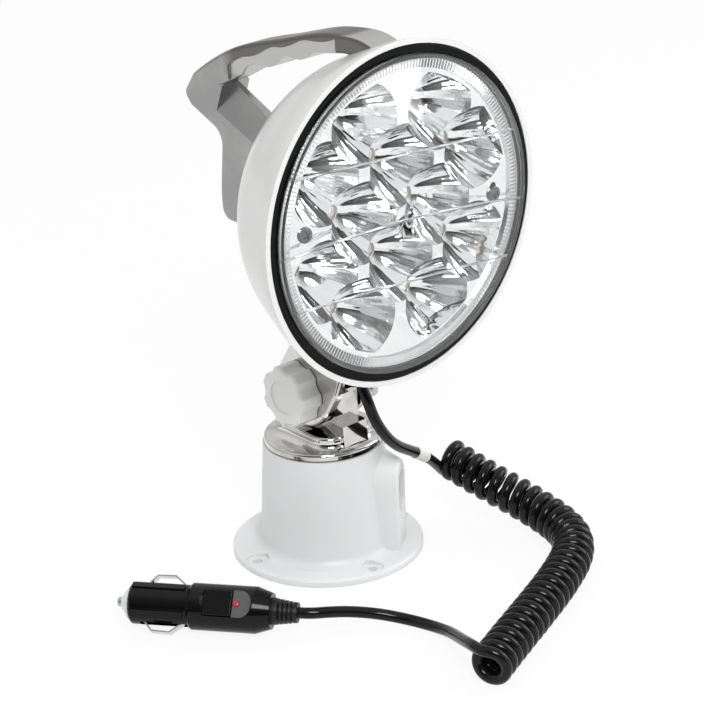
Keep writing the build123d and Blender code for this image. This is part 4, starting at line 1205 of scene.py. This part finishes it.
@dataclass(frozen=True)
class Studio:
    """Camera, lamps, floor and world."""

    distance: float = 1.4
    elevation: float = 0.39855
    azimuth: float = -0.70356
    roll: float = 0.04421
    shift_right: float = 0.012311
    shift_up: float = 0.100566
    focal_length: float = 136.0
    sensor_width: float = 36.0
    near_end: float = 0.05
    window: Lamp = Lamp("window", (-0.62, -1.05, 1.15), (0.0, -0.05, 0.20), (0.55, 0.55), 16.0)
    fill: Lamp = Lamp("fill", (1.3, -0.6, 0.7), (0.0, -0.02, 0.15), (0.8, 0.8), 7.0)
    pane_spot: Place = (-0.0077, -0.0733, 0.2607)
    pane_distance: float = 0.9
    pane_size: tuple[float, float] = (0.12, 0.09)
    pane_power: float = 0.10
    dome_centre: float = 0.7822
    floor_reach: float = 4.0
    floor_height: float = -0.0002
    floor_colour: Colour = (0.88, 0.88, 0.88)
    floor_roughness: float = 0.9
    floor_seen_white: float = 0.9
    floor_mirrored_white: float = 0.8
    tent_level: float = 0.52
    tent_rise: float = 0.42
    tent_rise_span: tuple[float, float] = (-0.2, 0.9)
    dim_patch: float = 0.66
    dim_patch_span: tuple[float, float] = (0.50, 0.86)

    def camera_axes(self) -> tuple[Vector, Vector, Vector]:
        """The camera's right, up and back directions."""
        back = Vector(
            (
                sin(self.azimuth) * cos(self.elevation),
                -cos(self.azimuth) * cos(self.elevation),
                sin(self.elevation),
            )
        )
        level = Vector((cos(self.azimuth), sin(self.azimuth), 0.0))
        above = back.cross(level)
        right = level * cos(self.roll) - above * sin(self.roll)
        up = above * cos(self.roll) + level * sin(self.roll)
        return right, up, back

    def place_camera(self) -> bpy.types.Object:
        """Make the camera at the photograph's viewpoint.

        Returns:
            The camera.
        """
        right, up, back = self.camera_axes()
        data = bpy.data.cameras.new("camera")
        data.sensor_width = self.sensor_width
        data.lens = self.focal_length
        data.clip_start = self.near_end
        camera = bpy.data.objects.new("camera", data)
        turn = Matrix((right, up, back)).transposed().to_4x4()
        aim = right * self.shift_right + up * self.shift_up
        camera.matrix_world = Matrix.Translation(aim + back * self.distance) @ turn
        bpy.context.scene.collection.objects.link(camera)
        bpy.context.scene.camera = camera
        return camera

    def mirrored_pane(self) -> Lamp:
        """A small bright pane, placed where the clear cover mirrors it to the camera.

        Returns:
            The pane.
        """
        right, up, back = self.camera_axes()
        eye = right * self.shift_right + up * self.shift_up + back * self.distance
        spot = Vector(self.pane_spot)
        bulge = Vector((0.0, self.dome_centre, LAMP_HEIGHT))
        normal = (spot - bulge).normalized()
        sight = (spot - eye).normalized()
        way = sight - normal * (2 * sight.dot(normal))
        place = spot + way * self.pane_distance
        return Lamp("pane", tuple(place), tuple(spot), self.pane_size, self.pane_power)

    def lay_floor(self) -> None:
        """Lay a white floor that keeps a faint shadow."""
        mesh = bpy.data.meshes.new("floor")
        reach, low = self.floor_reach, self.floor_height
        sides = ((-reach, -reach), (reach, -reach), (reach, reach), (-reach, reach))
        mesh.from_pydata([(*side, low) for side in sides], [], [(0, 1, 2, 3)])
        paint = Paint("floor white")
        paint.set(Base_Color=self.floor_colour, Roughness=self.floor_roughness)
        paths = paint.tree.nodes.new("ShaderNodeLightPath")
        seen = Wire(paint.tree, paths.outputs["Is Camera Ray"])
        mirrored = Wire(paint.tree, paths.outputs["Is Glossy Ray"])
        through = Wire(paint.tree, paths.outputs["Is Transmission Ray"])
        white = paint.node(
            "ShaderNodeEmission", inputs={"Color": (1.0, 1.0, 1.0), "Strength": 1.0}
        )
        share = (seen * self.floor_seen_white).either(mirrored * self.floor_mirrored_white)
        share = share.either(through * self.floor_mirrored_white)
        mix = paint.node(
            "ShaderNodeMixShader",
            inputs={0: share, 1: Wire(paint.tree, paint.shader.outputs[0]), 2: white},
        )
        paint.tree.links.new(mix.socket, paint.output.inputs["Surface"])
        mesh.materials.append(paint.material)
        floor = bpy.data.objects.new("floor", mesh)
        bpy.context.scene.collection.objects.link(floor)

    def light_world(self) -> None:
        """Light the room: a pale tent with a dim patch behind the camera, white to the eye."""
        world = bpy.data.worlds.new("tent")
        world.use_nodes = True
        bpy.context.scene.world = world
        tree = world.node_tree
        tree.nodes.clear()
        way = add_node(tree, "ShaderNodeTexCoord", output="Generated")
        _, _, back = self.camera_axes()
        facing = add_node(
            tree,
            "ShaderNodeVectorMath",
            {"operation": "DOT_PRODUCT"},
            {0: way, 1: tuple(back)},
            "Value",
        )
        split = tree.nodes.new("ShaderNodeSeparateXYZ")
        feed(tree, split.inputs[0], way)
        height = Wire(tree, split.outputs["Z"])
        tent = self.tent_level + self.tent_rise * height.step(*self.tent_rise_span)
        tent = tent - self.dim_patch * facing.step(*self.dim_patch_span)
        paths = tree.nodes.new("ShaderNodeLightPath")
        seen = Wire(tree, paths.outputs["Is Camera Ray"])
        strength = tent * (1.0 - seen) + seen
        background = add_node(
            tree, "ShaderNodeBackground", inputs={"Color": (1.0, 1.0, 1.0), "Strength": strength}
        )
        output = tree.nodes.new("ShaderNodeOutputWorld")
        tree.links.new(background.socket, output.inputs["Surface"])

    def build(self) -> None:
        """Set up the lamps, the floor, the world and the view."""
        self.lay_floor()
        self.light_world()
        for lamp in (self.window, self.fill, self.mirrored_pane()):
            lamp.hang()
        bpy.context.scene.view_settings.view_transform = "Standard"


def main() -> None:
    """Build the sub-assemblies in order."""
    logging.basicConfig(level=logging.INFO, format="%(message)s")
    studio = Studio()
    studio.place_camera()
    CurlyCord().build()
    studio.build()
    Pedestal().dress()
    TiltMount().dress()
    head = LampHead()
    head.dress()
    head.build_trim()
    head.build_screws()
    CarryHandle().dress()
    AccessoryPlug().dress()


if __name__ == "__main__":
    main()
